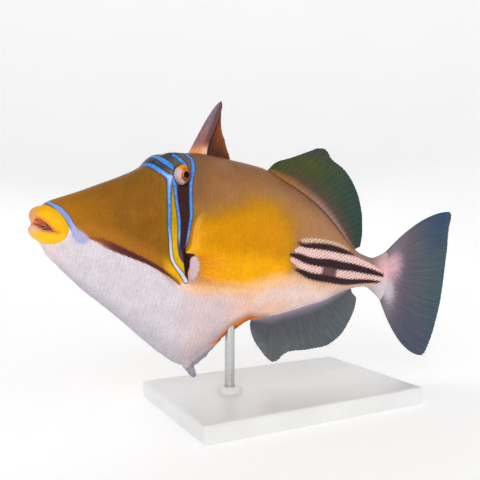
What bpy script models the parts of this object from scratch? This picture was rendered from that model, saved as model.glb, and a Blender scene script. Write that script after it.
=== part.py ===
"""Assasi triggerfish: a still, life-size model of a swimming fish on a plain display stand.

Fish frame: s runs back from the tip of the snout, h runs up and l runs to the fish's right, all in
millimetres. The fish points along world -X, pitched a little nose up, and its left side faces -Y.
"""

import math

import bpy
from mathutils import Matrix, Vector

MM = 0.001
GAP = 0.3  # clearance between neighbouring solids
PITCH = math.radians(9.0)  # nose up

# Outline of the body seen from the side, (s, h). The fins are not part of it.
BACK = (
    (-1.0, 3.6), (-0.85, 4.4), (0.1, 5.8), (2.6, 7.6), (5.5, 9.9), (10.2, 12.5), (18, 16.6), (26, 21.2),
    (35, 26.5), (43, 32.1), (46.6, 37.0), (49, 39.1), (51.5, 39.8), (54, 40), (59, 40.9), (66, 43.7),
    (74, 44.7), (90, 45.0), (102, 44.9), (111, 44.0), (119, 40.8), (129, 37.4), (139, 33.4), (150, 27.4),
    (161, 19.6), (169, 13.6), (178, 9.6), (186, 8.5), (191, 10.4), (197, 14.2),
)
BELLY = (
    (-0.4, -3.6), (-0.2, -4.2), (0.5, -5.4), (1.9, -6.8), (3.8, -7.8), (5.3, -9.1), (6.6, -10.9), (9, -13.9),
    (12.3, -16.3), (16, -19.3), (20, -22.2), (25, -25.9), (34, -31.4), (45, -38.5), (56, -46.0), (66, -52.4),
    (76, -57.1), (80.5, -57.8), (84, -55.3), (88, -51.4), (92, -47.9), (96, -44.5), (100, -41.9), (103, -39.8),
    (106.3, -37.0), (109, -34.8), (112, -33.2), (127, -29.6), (145, -23.4), (155, -19.6), (165, -14.4),
    (174, -10.4), (184, -8.4), (190, -11.0), (197, -15.6),
)
# Half the body's width, and the height at which it is widest.
HALF_WIDTH = (
    (-1.0, 0.9), (-0.5, 2.0), (0, 2.8), (1, 4.1), (2.5, 5.6), (5, 6.9), (8, 7.8), (12, 8.8), (25, 10.6),
    (40, 13.0), (55, 15.2), (68, 16.6), (84, 16.8), (104, 15.6), (125, 12.6), (145, 9.2), (165, 6.2),
    (180, 4.6), (190, 3.9), (197, 3.1),
)
WIDEST = ((2, 0), (12, -1), (25, -1), (45, 2), (66, 6), (90, 8), (120, 5), (150, 3), (174, 1), (197, -0.5))
# How blunt (power of the height) and how rounded (0.5) or keeled (1 and over) a section is.
BACK_BLUNT = (
    (2, 2.0), (30, 2.2), (44, 2.8), (52, 5.0), (60, 5.0), (68, 3.0), (80, 2.2), (90, 2.0), (197, 2.0),
)
BACK_EDGE = ((2, 0.5), (66, 0.5), (90, 0.58), (112, 0.66), (165, 0.62), (186, 0.5), (197, 0.5))
BELLY_BLUNT = ((2, 2.0), (40, 2.0), (80, 1.9), (197, 2.0))
BELLY_EDGE = (
    (2, 0.5), (20, 0.52), (45, 0.66), (66, 0.86), (84, 1.08), (112, 0.86), (150, 0.7), (186, 0.5), (197, 0.5),
)

# Where thin cuts part the body, by s.
JAW_END = 13.0
HEAD_END = 68.0
TORSO_END = 172.0
PEDUNCLE_END = 196.0
SECTION_POINTS = 36

# Brows: ridges over the eyes that flatten the top of the head.
BROW_AT = (55.6, 10.4)  # s and l
BROW_SIZE = (6.2, 11.0, 3.9)  # ahead, behind and across
BROW_RAISE = 3.8

# Eye: a dome that stands out of the upper cheek.
EYE_AT = (58.8, 30.6)
EYE_RADII = (3.8, 4.4, 4.65)  # along s, l and h
EYE_SUNK = 0.9  # centre of the eye below the skin
ORBIT_RAISE = 1.2
ORBIT_SPREAD = 6.5
NOSTRILS = ((51.6, 30.2, 0.6), (49.4, 29.4, 0.5))  # s, h and radius

# Mouth: the rims of the lips, the height at which each jaw is widest, and what shows between the lips.
UPPER_RIM = (
    (-1.0, 2.4), (-0.8, 1.2), (-0.4, 0.4), (0.0, -0.2), (0.4, -0.5), (0.7, 0.4), (1.0, 1.6), (1.7, 2.0),
    (2.9, 1.8), (4.1, 1.2), (5.5, 0.4), (6.8, -0.7), (7.9, -1.7), (9.2, -2.5), (10.4, -2.7), (13, -2.8),
)
LOWER_RIM = (
    (-0.4, -3.0), (-0.1, -1.7), (0.4, -1.1), (0.9, -1.15), (2.0, -1.5), (3.2, -2.2), (4.4, -2.6),
    (5.7, -2.75), (8, -2.85), (10.4, -3.0), (13, -3.1),
)
UPPER_WIDEST = ((-1.0, 3.0), (0.4, 2.4), (1.2, 3.4), (3, 3.6), (6, 2.2), (9, 0.0), (13, -1.2))
LOWER_WIDEST = ((-0.4, -3.3), (0.4, -3.2), (2, -3.9), (6, -4.7), (10, -4.9), (13, -3.6))
RIM_BLUNT = ((-1.0, 2.4), (-0.2, 5.0), (0.6, 6.0), (1.1, 3.4), (2, 3.2), (6, 3.6), (10, 6.0), (13, 12.0))
LIP_STEPS = (0.0, 0.3, 0.6, 1.0, 1.4, 1.75, 2.1, 2.8)  # stations of the lips behind their tips
JAW_MEET = (
    (-1.0, -0.75), (0.4, -0.8), (2.5, -0.8), (4, -1.2), (5.5, -1.6), (8, -2.35), (10.4, -2.85), (13, -2.95),
)
MOUTH_FLOOR = ((0.8, 2.5), (1.6, 3.6), (2.6, 4.3), (4, 4.8), (5.6, 5.3), (8, 6.0), (12, 7.0))
MOUTH_FLOOR_HALF = 2.7  # half its height; MOUTH_FLOOR is half its width, by s

GILL_AT = (66.8, -9.0)
GILL_RADII = (1.1, 3.2, 8.4)
GILL_LEAN = math.radians(13)

# First dorsal fin: one stout spine, two short ones and the web behind them.
SPINE_FRONT = ((65.4, 41.5), (69.2, 52.0), (72.7, 61.1), (76.2, 68.4), (78.3, 71.6))
SPINE_REAR = ((75.6, 42.0), (75.9, 49.0), (77.6, 56.0), (79.4, 63.5), (80.6, 70.4))
SPINE_TIP = (79.7, 72.6)
SPINE_HALF_WIDTH = 1.9
WEB_EDGE = ((81.0, 67.5), (81.6, 60.9), (84.3, 54.0), (87.4, 47.4))
WEB_ROOT = ((75.6, 43.0), (88.6, 43.4))
WEB_RAYS = 4

# Soft fins: margin as (s, h) from front to back, number of rays, and how the ray tips are spread.
DORSAL_ROOT = (110.8, 173.0)
DORSAL_MARGIN = (
    (113.0, 48.0), (115.6, 49.8), (121.5, 52.5), (132.9, 58.6), (138.8, 61.5), (142.4, 61.9), (145.2, 60.5),
    (147.8, 58.1), (151.4, 56.6), (156.7, 55.1), (162.8, 52.0), (168.0, 47.7), (172.2, 42.4), (174.8, 36.3),
    (176.1, 29.8), (176.1, 23.1), (174.8, 13.4),
)
DORSAL_RAYS = 25
DORSAL_SPREAD = 0.72
ANAL_ROOT = (112.9, 173.6)
ANAL_MARGIN = (
    (113.6, -35.3), (114.6, -38.2), (117.9, -43.6), (122.5, -48.2), (127.5, -52.5), (130.7, -54.0),
    (133.5, -52.7), (135.8, -49.9), (138.5, -48.1), (141.3, -47.3), (147.5, -46.3), (153.6, -44.8),
    (159.9, -43.1), (165.4, -39.6), (170.1, -35.3), (173.8, -30.0), (177.2, -24.5), (179.2, -19.4),
    (179.8, -15.6), (176.2, -12.6),
)
ANAL_RAYS = 23
ANAL_SPREAD = 0.82
CAUDAL_ROOT = ((196.3, 13.6), (196.3, -15.0))
CAUDAL_MARGIN = (
    (242.6, 44.4), (244.8, 43.0), (245.2, 40.2), (244.6, 35.0), (244.7, 30.0), (245.3, 22.0), (244.9, 12.0),
    (244.1, -1.0), (242.9, -12.0), (241.0, -22.0), (239.1, -31.0), (237.0, -38.0), (234.6, -43.6),
    (232.4, -45.0),
)
CAUDAL_RAYS = 23  # branches of the twelve rays
CAUDAL_BOW = (5.3, -6.9)  # how far the rays bow, at the upper and the lower edge
SOFT_ROOT_HALF = 1.3
SOFT_TIP_HALF = 0.22
RAY_RIDGE = 0.16  # how far a ray stands out of the web on each face
WAVE = 2.4  # sideways sway of a fin's margin

# Pectoral fin: fan of rays from a fleshy root behind the gill opening.
PECTORAL_ROOT = ((70.0, -4.8), (70.4, -15.8))
PECTORAL_RAYS = 13
PECTORAL_ANGLES = (math.radians(14), math.radians(-62))
PECTORAL_LENGTHS = (
    (0.0, 16.5), (0.08, 20.5), (0.25, 23.0), (0.5, 22.0), (0.75, 17.5), (0.93, 12.5), (1.0, 9.0),
)
PECTORAL_FLARE = 0.17
PECTORAL_ROOT_HALF = 1.3
PECTORAL_TIP_HALF = 0.24

# Ventral flap: rough web behind the knob that ends the pelvis.
FLAP_ROOT = (83.2, 97.2)
FLAP_DEPTH = ((0.0, 2.6), (0.2, 2.8), (0.38, 3.2), (0.52, 2.4), (0.72, 1.6), (1.0, 0.6))
FLAP_RAYS = 6
FLAP_HALF = 0.55
KNOB_ROOT = (80.6, -56.2)
KNOB_TIP = (86.1, -62.8)
KNOB_RADII = (3.1, 1.6)
KNOB_SIDES = 12

# Rows of small forward-pointing spines on each side of the tail: (s, h) along the row, and how many.
SPINE_ROWS = (
    (((131.0, 9.0), (147.0, 9.6), (159.0, 9.2), (168.0, 8.4)), 10),
    (((127.0, 2.4), (143.0, 1.0), (160.0, 1.1), (190.0, -0.3)), 18),
    (((133.0, -5.2), (150.0, -6.9), (168.5, -7.0), (188.0, -4.8)), 15),
)
TAIL_SPINE = (1.1, 0.75, 0.9)  # half length, half width and height

# Display stand, in the world frame.
BASE_SIZE = (124.0, 80.0, 9.0)
BASE_BEVEL = 1.5
BASE_CLEARANCE = 8.0  # between the base and the lowest part of the body above it
ROD_AT = 101.8  # s of the rod under the belly
ROD_RADIUS = 2.5
ROD_REACH = 22.0  # how far the rod runs inside the body
COLLAR_RADIUS = 6.0
COLLAR_HEIGHT = 3.0


def secant(points, i):
    return (points[i + 1][1] - points[i][1]) / (points[i + 1][0] - points[i][0])


def slope(points, i):
    if i == 0:
        return secant(points, 0)
    if i == len(points) - 1:
        return secant(points, i - 1)
    before, after = secant(points, i - 1), secant(points, i)
    if before * after <= 0:
        return 0.0
    return 2 * before * after / (before + after)


def curve(points, at):
    """Value at a place on the smooth curve through the points, with no overshoot between them."""
    at = min(max(at, points[0][0]), points[-1][0])
    i = max(n for n in range(len(points) - 1) if points[n][0] <= at)
    (x0, y0), (x1, y1) = points[i], points[i + 1]
    width = x1 - x0
    t = (at - x0) / width
    from_start = y0 * (1 + 2 * t) * (1 - t) ** 2 + slope(points, i) * width * t * (1 - t) ** 2
    return from_start + y1 * t * t * (3 - 2 * t) + slope(points, i + 1) * width * t * t * (t - 1)


def along(points, share):
    """Point at a share of the length of the smooth line through the points."""
    lengths = [0.0]
    for a, b in zip(points, points[1:]):
        lengths.append(lengths[-1] + math.dist(a, b))
    at = share * lengths[-1]
    axes = range(len(points[0]))
    return tuple(curve([(d, p[axis]) for d, p in zip(lengths, points)], at) for axis in axes)


def reach(s, h):
    """Top or bottom of the body on that side of its widest line, with its bluntness and edge."""
    middle = curve(WIDEST, s)
    if h >= middle:
        return curve(BACK, s) - middle, curve(BACK_BLUNT, s), curve(BACK_EDGE, s)
    return curve(BELLY, s) - middle, curve(BELLY_BLUNT, s), curve(BELLY_EDGE, s)


def flank(s, h):
    """Half the body's width at a station and a height."""
    extent, blunt, edge = reach(s, h)
    share = min(abs((h - curve(WIDEST, s)) / extent), 1.0)
    orbit = math.dist((s, h), EYE_AT) / ORBIT_SPREAD
    raised = ORBIT_RAISE * math.exp(-orbit * orbit) if share < 1.0 else 0.0
    return curve(HALF_WIDTH, s) * (1 - share**blunt) ** edge + raised


def section(s):
    """Closed ring of points round the body at a station."""
    middle = curve(WIDEST, s)
    ring = []
    for n in range(SECTION_POINTS):
        turn = 2 * math.pi * n / SECTION_POINTS
        extent = abs(reach(s, middle + math.sin(turn))[0])
        h = middle + extent * math.sin(turn)
        across = 0.0 if n % (SECTION_POINTS // 2) == SECTION_POINTS // 4 else flank(s, h)
        ring.append((s, math.copysign(across, math.cos(turn)), h + brow(s, across, h - middle)))
    return ring


def brow(s, across, above):
    """Extra height of the head's top over the eyes."""
    if above <= 0:
        return 0.0
    ahead, behind, side = BROW_SIZE
    along_ridge = ((s - BROW_AT[0]) / ahead) ** 4 if s < BROW_AT[0] else ((s - BROW_AT[0]) / behind) ** 2
    off_ridge = ((across - BROW_AT[1]) / side) ** 2
    high = min(max((above - 26.0) / 6.0, 0.0), 1.0)
    return BROW_RAISE * math.exp(-along_ridge - off_ridge) * high


def new_object(name, points, faces, material=None, smooth=True):
    """Mesh object from points in the fish frame."""
    mesh = bpy.data.meshes.new(name)
    mesh.from_pydata([Vector(p) * MM for p in points], [], faces)
    mesh.validate()
    if smooth:
        mesh.shade_smooth()
        mesh.set_sharp_from_angle(angle=math.radians(40))
    obj = bpy.data.objects.new(name, mesh)
    bpy.context.scene.collection.objects.link(obj)
    if material:
        mesh.materials.append(material)
    return obj


def lofted(rings):
    """Points and faces of a closed solid through rings of equally many points."""
    points = [p for ring in rings for p in ring]
    count = len(rings[0])
    faces = [tuple(reversed(range(count))), tuple(range(len(points) - count, len(points)))]
    for r in range(len(rings) - 1):
        for n in range(count):
            a, b = r * count + n, r * count + (n + 1) % count
            faces.append((a, b, b + count))
            faces.append((a, b + count, a + count))
    return points, faces


def stations(start, end, step):
    count = max(1, round((end - start) / step))
    return [start + (end - start) * n / count for n in range(count + 1)]


def body_length(name, start, end, step, material=None):
    points, faces = lofted([section(s) for s in stations(start, end, step)])
    return new_object(name, points, faces, material)


def ellipsoid(name, centre, radii, segments=20, rings=12, lean=0.0):
    """Closed ellipsoid whose poles lie along l, leant about l."""
    points = [(0.0, -1.0, 0.0)]
    for r in range(1, rings):
        angle = math.pi * r / rings
        for n in range(segments):
            turn = 2 * math.pi * n / segments
            wide = math.sin(angle)
            points.append((wide * math.cos(turn), -math.cos(angle), wide * math.sin(turn)))
    points.append((0.0, 1.0, 0.0))
    last = len(points) - 1
    faces = []
    for n in range(segments):
        after = (n + 1) % segments
        faces.append((0, 1 + n, 1 + after))
        faces.append((last, last - segments + after, last - segments + n))
        for r in range(rings - 2):
            a, b = 1 + r * segments + n, 1 + r * segments + after
            faces.append((a, a + segments, b + segments))
            faces.append((a, b + segments, b))
    cos, sin = math.cos(lean), math.sin(lean)
    placed = []
    for x, y, z in points:
        x, y, z = x * radii[0], y * radii[1], z * radii[2]
        placed.append((centre[0] + x * cos - z * sin, centre[1] + y, centre[2] + x * sin + z * cos))
    return new_object(name, placed, faces)


def box(name, low, high):
    corners = [(x, y, z) for x in (low[0], high[0]) for y in (low[1], high[1]) for z in (low[2], high[2])]
    faces = [(0, 1, 3, 2), (4, 6, 7, 5), (0, 4, 5, 1), (2, 3, 7, 6), (0, 2, 6, 4), (1, 5, 7, 3)]
    return new_object(name, corners, faces, smooth=False)


def apply_modifiers(obj):
    """Bakes an object's modifiers into its mesh."""
    graph = bpy.context.evaluated_depsgraph_get()
    baked = bpy.data.meshes.new_from_object(obj.evaluated_get(graph))
    obj.modifiers.clear()
    obj.data = baked


def combine(target, others, operation):
    """Joins or cuts target with the other closed meshes in one Boolean, then removes them."""
    group = bpy.data.collections.new("operands")
    for other in others:
        group.objects.link(other)
    modifier = target.modifiers.new(operation, "BOOLEAN")
    modifier.operation = operation
    modifier.operand_type = "COLLECTION"
    modifier.collection = group
    modifier.solver = "EXACT"
    bpy.context.view_layer.update()
    apply_modifiers(target)
    for other in others:
        bpy.data.objects.remove(other)
    bpy.data.collections.remove(group)
    return target


def material(name, colour, roughness, metallic=0.0):
    made = bpy.data.materials.new(name)
    made.use_nodes = True
    shader = made.node_tree.nodes["Principled BSDF"]
    shader.inputs["Base Color"].default_value = (*colour, 1.0)
    shader.inputs["Roughness"].default_value = roughness
    shader.inputs["Metallic"].default_value = metallic
    return made


def jaw_section(s, above):
    """Closed ring round one jaw at a station: the snout outside and a rounded lip at the rim."""
    outer = curve(BACK if above else BELLY, s)
    rim = curve(UPPER_RIM if above else LOWER_RIM, s)
    widest = curve(UPPER_WIDEST if above else LOWER_WIDEST, s)
    ring = []
    for n in range(SECTION_POINTS):
        turn = 2 * math.pi * n / SECTION_POINTS
        lift = math.sin(turn)
        on_rim = (lift < 0) == above and abs(lift) > 1e-9
        extent = (rim if on_rim else outer) - widest
        blunt = curve(RIM_BLUNT, s) if on_rim else 2.0
        across = curve(HALF_WIDTH, s) * (1 - min(abs(lift), 1.0) ** blunt) ** 0.5
        across = 0.0 if n % (SECTION_POINTS // 2) == SECTION_POINTS // 4 else across
        ring.append((s, math.copysign(across, math.cos(turn)), widest + abs(lift) * extent))
    return ring


def half_space(name, above):
    """Block on one side of the surface where the jaws meet."""
    far = 30.0 if above else -30.0
    shift = -GAP / 2 if above else GAP / 2
    rings = []
    for s in stations(-6.0, JAW_END + 5, 3.0):
        level = curve(JAW_MEET, s) + shift
        low, high = min(level, far), max(level, far)
        rings.append([(s, -20, low), (s, 20, low), (s, 20, high), (s, -20, high)])
    points, faces = lofted(rings)
    return new_object(name, points, faces, smooth=False)


def mouth_floor(name):
    """Flesh inside the lips, which closes the mouth a little behind their rims."""
    rings = []
    for s in stations(MOUTH_FLOOR[0][0], MOUTH_FLOOR[-1][0], 2.0):
        width, level = curve(MOUTH_FLOOR, s), curve(JAW_MEET, s)
        turns = [2 * math.pi * n / 20 for n in range(20)]
        rings.append([(s, width * math.cos(t), level + MOUTH_FLOOR_HALF * math.sin(t)) for t in turns])
    points, faces = lofted(rings)
    return new_object(name, points, faces)


def jaw(name, above, skin):
    """One jaw from the tip of its lip back to the head, with its half of the flesh inside the mouth."""
    tip = UPPER_RIM[0][0] if above else LOWER_RIM[0][0]
    steps = [tip + step for step in LIP_STEPS] + stations(tip + 4.0, JAW_END, 1.9)
    points, faces = lofted([jaw_section(s, above) for s in steps])
    made = new_object(name, points, faces)
    combine(made, [mouth_floor(name + "_floor")], "UNION")
    combine(made, [half_space(name + "_cut", not above)], "DIFFERENCE")
    made.data.materials.clear()
    made.data.materials.append(skin)
    return made


def eye_centre(side, radius_gain=0.0):
    s, h = EYE_AT
    return (s, side * (flank(s, h) - EYE_SUNK - radius_gain), h)


def eye(name, side, coat):
    made = ellipsoid(name, eye_centre(side), EYE_RADII, 20, 12)
    made.data.materials.append(coat)
    return made


def gill_cutter(name, side):
    s, h = GILL_AT
    return ellipsoid(name, (s, side * (flank(s, h) + 0.6), h), GILL_RADII, 12, 8, GILL_LEAN)


def head(skin):
    made = body_length("head", JAW_END + GAP, HEAD_END - GAP / 2, 3.2)
    cutters = []
    for side in (-1, 1):
        grown = [r + GAP for r in EYE_RADII]
        cutters.append(ellipsoid(f"socket{side}", eye_centre(side), grown, 20, 12))
        cutters.append(gill_cutter(f"gill{side}", side))
        for s, h, radius in NOSTRILS:
            pit = (radius, 1.4, radius * 1.3)
            cutters.append(ellipsoid(f"nostril{side}{s}", (s, side * (flank(s, h) + 0.4), h), pit, 8, 6))
    combine(made, cutters, "DIFFERENCE")
    made.data.materials.clear()
    made.data.materials.append(skin)
    return made


def tail_spine(name, s, h, side):
    """Small four-sided spine that leans forward, with its root sunk in the flank."""
    half, width, height = TAIL_SPINE
    skin = flank(s, h)
    root = [(-half, -width), (half, -width), (half, width), (-half, width)]
    sunk, out = skin - 1.0, skin + height
    points = [(s + ds, side * sunk, h + dh) for ds, dh in root]
    points += [(s + ds * 0.8, side * skin, h + dh * 0.8) for ds, dh in root]
    points.append((s - half * 1.1, side * out, h))
    faces = [(3, 2, 1, 0)]
    for n in range(4):
        after = (n + 1) % 4
        faces.append((n, after, after + 4, n + 4))
        faces.append((n + 4, after + 4, 8))
    if side > 0:
        faces = [tuple(reversed(face)) for face in faces]
    return new_object(name, points, faces, smooth=False)


def tail_spines(start, end):
    """Spines of every row that stand between two stations, on both sides."""
    made = []
    for row, (line, count) in enumerate(SPINE_ROWS):
        for n in range(count):
            s, h = along(line, n / (count - 1))
            if start + TAIL_SPINE[0] * 1.5 < s < end - TAIL_SPINE[0] * 1.5:
                made += [tail_spine(f"spine{row}_{n}_{side}", s, h, side) for side in (-1, 1)]
    return made


def rod_cylinder(name, radius, low, high):
    """Upright world cylinder under the belly, as a mesh in world millimetres."""
    sides = 24
    rings = []
    for z in (low, high):
        ring = [2 * math.pi * n / sides for n in range(sides)]
        rings.append([(rod_x() + radius * math.cos(a), radius * math.sin(a), z) for a in ring])
    points, faces = lofted(rings)
    return new_object(name, points, faces)


def to_world(s, l, h):
    """World position in millimetres of a point of the fish frame."""
    x = s * math.cos(PITCH) + h * math.sin(PITCH)
    z = h * math.cos(PITCH) - s * math.sin(PITCH)
    return x + fish_offset()[0], l, z + fish_offset()[2]


def fish_offset():
    """World place of the fish frame's origin, which centres the model over the world's origin."""
    nose = min(s * math.cos(PITCH) + h * math.sin(PITCH) for s, h in UPPER_RIM)
    tail = max(s * math.cos(PITCH) + h * math.sin(PITCH) for s, h in CAUDAL_MARGIN)
    lowest = KNOB_TIP[1] * math.cos(PITCH) - KNOB_TIP[0] * math.sin(PITCH) - KNOB_RADII[1]
    return -(nose + tail) / 2, 0.0, BASE_SIZE[2] + BASE_CLEARANCE - lowest


def rod_x():
    return to_world(ROD_AT, 0, curve(BELLY, ROD_AT))[0]


def rod_top():
    return to_world(ROD_AT, 0, curve(BELLY, ROD_AT))[2] + ROD_REACH


def torso(skin, pose):
    made = body_length("torso", HEAD_END + GAP / 2, TORSO_END - GAP / 2, 4.3)
    combine(made, tail_spines(HEAD_END, TORSO_END), "UNION")
    cutters = [gill_cutter(f"gill{side}", side) for side in (-1, 1)]
    hole = rod_cylinder("rod_hole", ROD_RADIUS + GAP, 0, rod_top() + GAP)
    hole.data.transform(pose.matrix_world.inverted())
    combine(made, cutters + [hole], "DIFFERENCE")
    made.data.materials.clear()
    made.data.materials.append(skin)
    return made


def peduncle(skin):
    made = body_length("peduncle", TORSO_END + GAP / 2, PEDUNCLE_END, 2.6)
    combine(made, tail_spines(TORSO_END, PEDUNCLE_END), "UNION")
    made.data.materials.clear()
    made.data.materials.append(skin)
    return made


def sheet(name, rays, rows, centre, half, web):
    """Thin closed fin. centre(f, t) gives (s, l, h) of its middle, half(f, t) half its thickness there.

    f runs across the rays from 0 to 1 and t from the root to the margin. Every second column is a ray,
    and the columns between are the web, thinner by RAY_RIDGE. Both faces are cut into like triangles.
    """
    columns = 2 * rays - 1
    left, right = [], []
    for c in range(columns):
        f = c / (columns - 1)
        for r in range(rows + 1):
            t = r / rows
            s, l, h = centre(f, t)
            ridge = RAY_RIDGE * min(1.0, 3 * t) * (1.0 - 0.5 * t)
            thick = half(f, t) + (ridge if c % 2 == 0 else 0.0)
            left.append((s, l - thick, h))
            right.append((s, l + thick, h))
    points = left + right
    shift = len(left)
    faces = []
    for c in range(columns - 1):
        for r in range(rows):
            a = c * (rows + 1) + r
            b, d, e = a + 1, a + rows + 1, a + rows + 2
            faces += [(a, d, e), (a, e, b)]
            faces += [(a + shift, e + shift, d + shift), (a + shift, b + shift, e + shift)]
    rim = [c * (rows + 1) for c in range(columns)]
    rim += [(columns - 1) * (rows + 1) + r for r in range(1, rows + 1)]
    rim += [c * (rows + 1) + rows for c in reversed(range(columns - 1))]
    rim += [r for r in reversed(range(1, rows))]
    for a, b in zip(rim, rim[1:] + rim[:1]):
        faces += [(b, a, a + shift), (b, a + shift, b + shift)]
    made = new_object(name, points, faces)
    fix_outward(made)
    made.data.materials.append(web)
    return made


def fix_outward(obj):
    """Turns a closed mesh's faces round if they point inwards."""
    mesh = obj.data
    mesh.calc_loop_triangles()
    volume = 0.0
    for triangle in mesh.loop_triangles:
        a, b, c = (mesh.vertices[i].co for i in triangle.vertices)
        volume += a.dot(b.cross(c))
    if volume < 0:
        mesh.flip_normals()


def soft_fin(name, root, line, lift, margin, rays, spread, wave, web):
    """Dorsal or anal fin that stands on the body's edge line, with rays that lean back."""

    def centre(f, t):
        s0 = root[0] + (root[1] - root[0]) * f
        h0 = curve(line, s0) + lift * GAP
        s1, h1 = along(margin, f**spread)
        sway = wave * t**1.6 * math.sin(2 * math.pi * (1.05 * f + 0.62))
        return s0 + (s1 - s0) * t, sway, h0 + (h1 - h0) * t

    def half(f, t):
        fullness = (1 - t) ** 3 * (0.35 + 0.65 * math.sin(math.pi * f))
        return SOFT_TIP_HALF + (SOFT_ROOT_HALF - SOFT_TIP_HALF) * fullness

    return sheet(name, rays, 6, centre, half, web)


def caudal_fin(web):
    def centre(f, t):
        s0 = CAUDAL_ROOT[0][0]
        h0 = CAUDAL_ROOT[0][1] + (CAUDAL_ROOT[1][1] - CAUDAL_ROOT[0][1]) * f
        s1, h1 = along(CAUDAL_MARGIN, f)
        bow = (CAUDAL_BOW[0] + (CAUDAL_BOW[1] - CAUDAL_BOW[0]) * f) * 4 * t * (1 - t)
        sway = 0.5 * WAVE * t * t * math.sin(2 * math.pi * (0.8 * f + 0.1))
        return s0 + (s1 - s0) * t, sway, h0 + (h1 - h0) * t + bow

    def half(f, t):
        body = 3.0 * math.sqrt(max(0.0, 1 - (2 * f - 1) ** 2))
        return SOFT_TIP_HALF + 0.1 + (body - 0.1) * (1 - t) ** 4 if body > 0.1 else SOFT_TIP_HALF + 0.1

    return sheet("caudal_fin", CAUDAL_RAYS, 7, centre, half, web)


def pectoral_fin(name, side, web):
    """Fan of rays laid back along the flank, clear of it and flaring towards the margin."""

    def centre(f, t):
        s0, h0 = (a + (b - a) * f for a, b in zip(*PECTORAL_ROOT))
        angle = PECTORAL_ANGLES[0] + (PECTORAL_ANGLES[1] - PECTORAL_ANGLES[0]) * f
        run = curve(PECTORAL_LENGTHS, f) * t
        s, h = s0 + run * math.cos(angle), h0 + run * math.sin(angle)
        clear = GAP + half(f, t) + RAY_RIDGE + PECTORAL_FLARE * run + 0.25
        return s, side * (flank(s, h) + clear), h

    def half(_, t):
        return PECTORAL_TIP_HALF + (PECTORAL_ROOT_HALF - PECTORAL_TIP_HALF) * (1 - t) ** 5

    return sheet(name, PECTORAL_RAYS, 6, centre, half, web)


def dorsal_spine(web):
    """First dorsal fin: the locking spine with a rough front, and the web and short spines behind it."""
    sides, count = 10, 10
    rings = []
    for n in range(count + 1):
        t = n / count
        front, rear = along(SPINE_FRONT, t), along(SPINE_REAR, t)
        width = SPINE_HALF_WIDTH * (1 - 0.5 * t)
        ring = []
        for k in range(sides):
            turn = 2 * math.pi * k / sides
            share = (1 - math.cos(turn)) / 2
            s = front[0] + (rear[0] - front[0]) * share
            h = front[1] + (rear[1] - front[1]) * share
            ring.append((s, width * math.sin(turn), h))
        rings.append(ring)
    turns = [2 * math.pi * k / sides for k in range(sides)]
    rings.append([(SPINE_TIP[0] - 0.5 * math.cos(a), 0.4 * math.sin(a), SPINE_TIP[1]) for a in turns])
    points, faces = lofted(rings)
    made = new_object("dorsal_spine_fin", points, faces)
    fix_outward(made)

    def centre(f, t):
        s_low = WEB_ROOT[0][0] + (WEB_ROOT[1][0] - WEB_ROOT[0][0]) * f
        h_low = WEB_ROOT[0][1] + (WEB_ROOT[1][1] - WEB_ROOT[0][1]) * f + 0.2
        s_high, h_high = along(WEB_EDGE, f)
        if f == 0:
            s_high -= 1.6
        ahead = (1.4 if t > 0 else 1.0) * (1 - f)
        return s_low + (s_high - s_low) * t - ahead, 0.0, h_low + (h_high - h_low) * t

    def half(f, t):
        return 0.3 + 0.35 * (1 - t) * (1 - f)

    behind = sheet("web", WEB_RAYS, 7, centre, half, web)
    combine(made, [behind], "UNION")
    floor = body_length("floor", 62.0, 92.0, 2.5)
    floor.data.transform(Matrix.Translation((0, 0, GAP * MM)))
    combine(made, [floor], "DIFFERENCE")
    made.data.materials.clear()
    made.data.materials.append(web)
    return made


def ventral_flap(web):
    """Rough web behind the pelvis, cut clear of the blunt end of the pelvis."""
    def centre(f, t):
        s0 = FLAP_ROOT[0] + (FLAP_ROOT[1] - FLAP_ROOT[0]) * f
        h0 = curve(BELLY, s0) - GAP
        depth = curve(FLAP_DEPTH, f) * (0.86 + 0.14 * abs(math.sin(3.5 * math.pi * f)))
        return s0 + depth * 0.62 * t, 0.0, h0 - depth * 0.62 * t

    def half(f, t):
        return FLAP_HALF - 0.25 * t

    made = sheet("ventral_flap", FLAP_RAYS, 2, centre, half, web)
    combine(made, [knob("knob_clearance", GAP)], "DIFFERENCE")
    made.data.materials.clear()
    made.data.materials.append(web)
    return made


def knob(name, grown=0.0):
    """Blunt end of the pelvis, which starts inside the belly."""
    (s0, h0), (s1, h1) = KNOB_ROOT, KNOB_TIP
    length = math.dist(KNOB_ROOT, KNOB_TIP)
    ahead = Vector(((s1 - s0) / length, 0, (h1 - h0) / length))
    across = Vector((-ahead.z, 0, ahead.x))
    rings = []
    for share, size in ((0.0, 1.0), (0.4, 0.86), (0.75, 1.0), (0.92, 0.8), (1.0, 0.4)):
        radius = (KNOB_RADII[0] + (KNOB_RADII[1] - KNOB_RADII[0]) * share) * size + grown
        middle = Vector((s0, 0, h0)) + ahead * length * share
        ring = []
        for k in range(KNOB_SIDES):
            turn = 2 * math.pi * k / KNOB_SIDES
            aside = Vector((0, radius * 0.85 * math.sin(turn), 0))
            ring.append(tuple(middle + across * radius * math.cos(turn) + aside))
        rings.append(ring)
    points, faces = lofted(rings)
    made = new_object(name, points, faces)
    fix_outward(made)
    return made


def pelvic_knob(coat):
    made = knob("pelvic_spine")
    belly = body_length("belly", 74.0, 94.0, 2.0)
    belly.data.transform(Matrix.Translation((0, 0, -GAP * MM)))
    combine(made, [belly], "DIFFERENCE")
    made.data.materials.clear()
    made.data.materials.append(coat)
    return made


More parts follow.
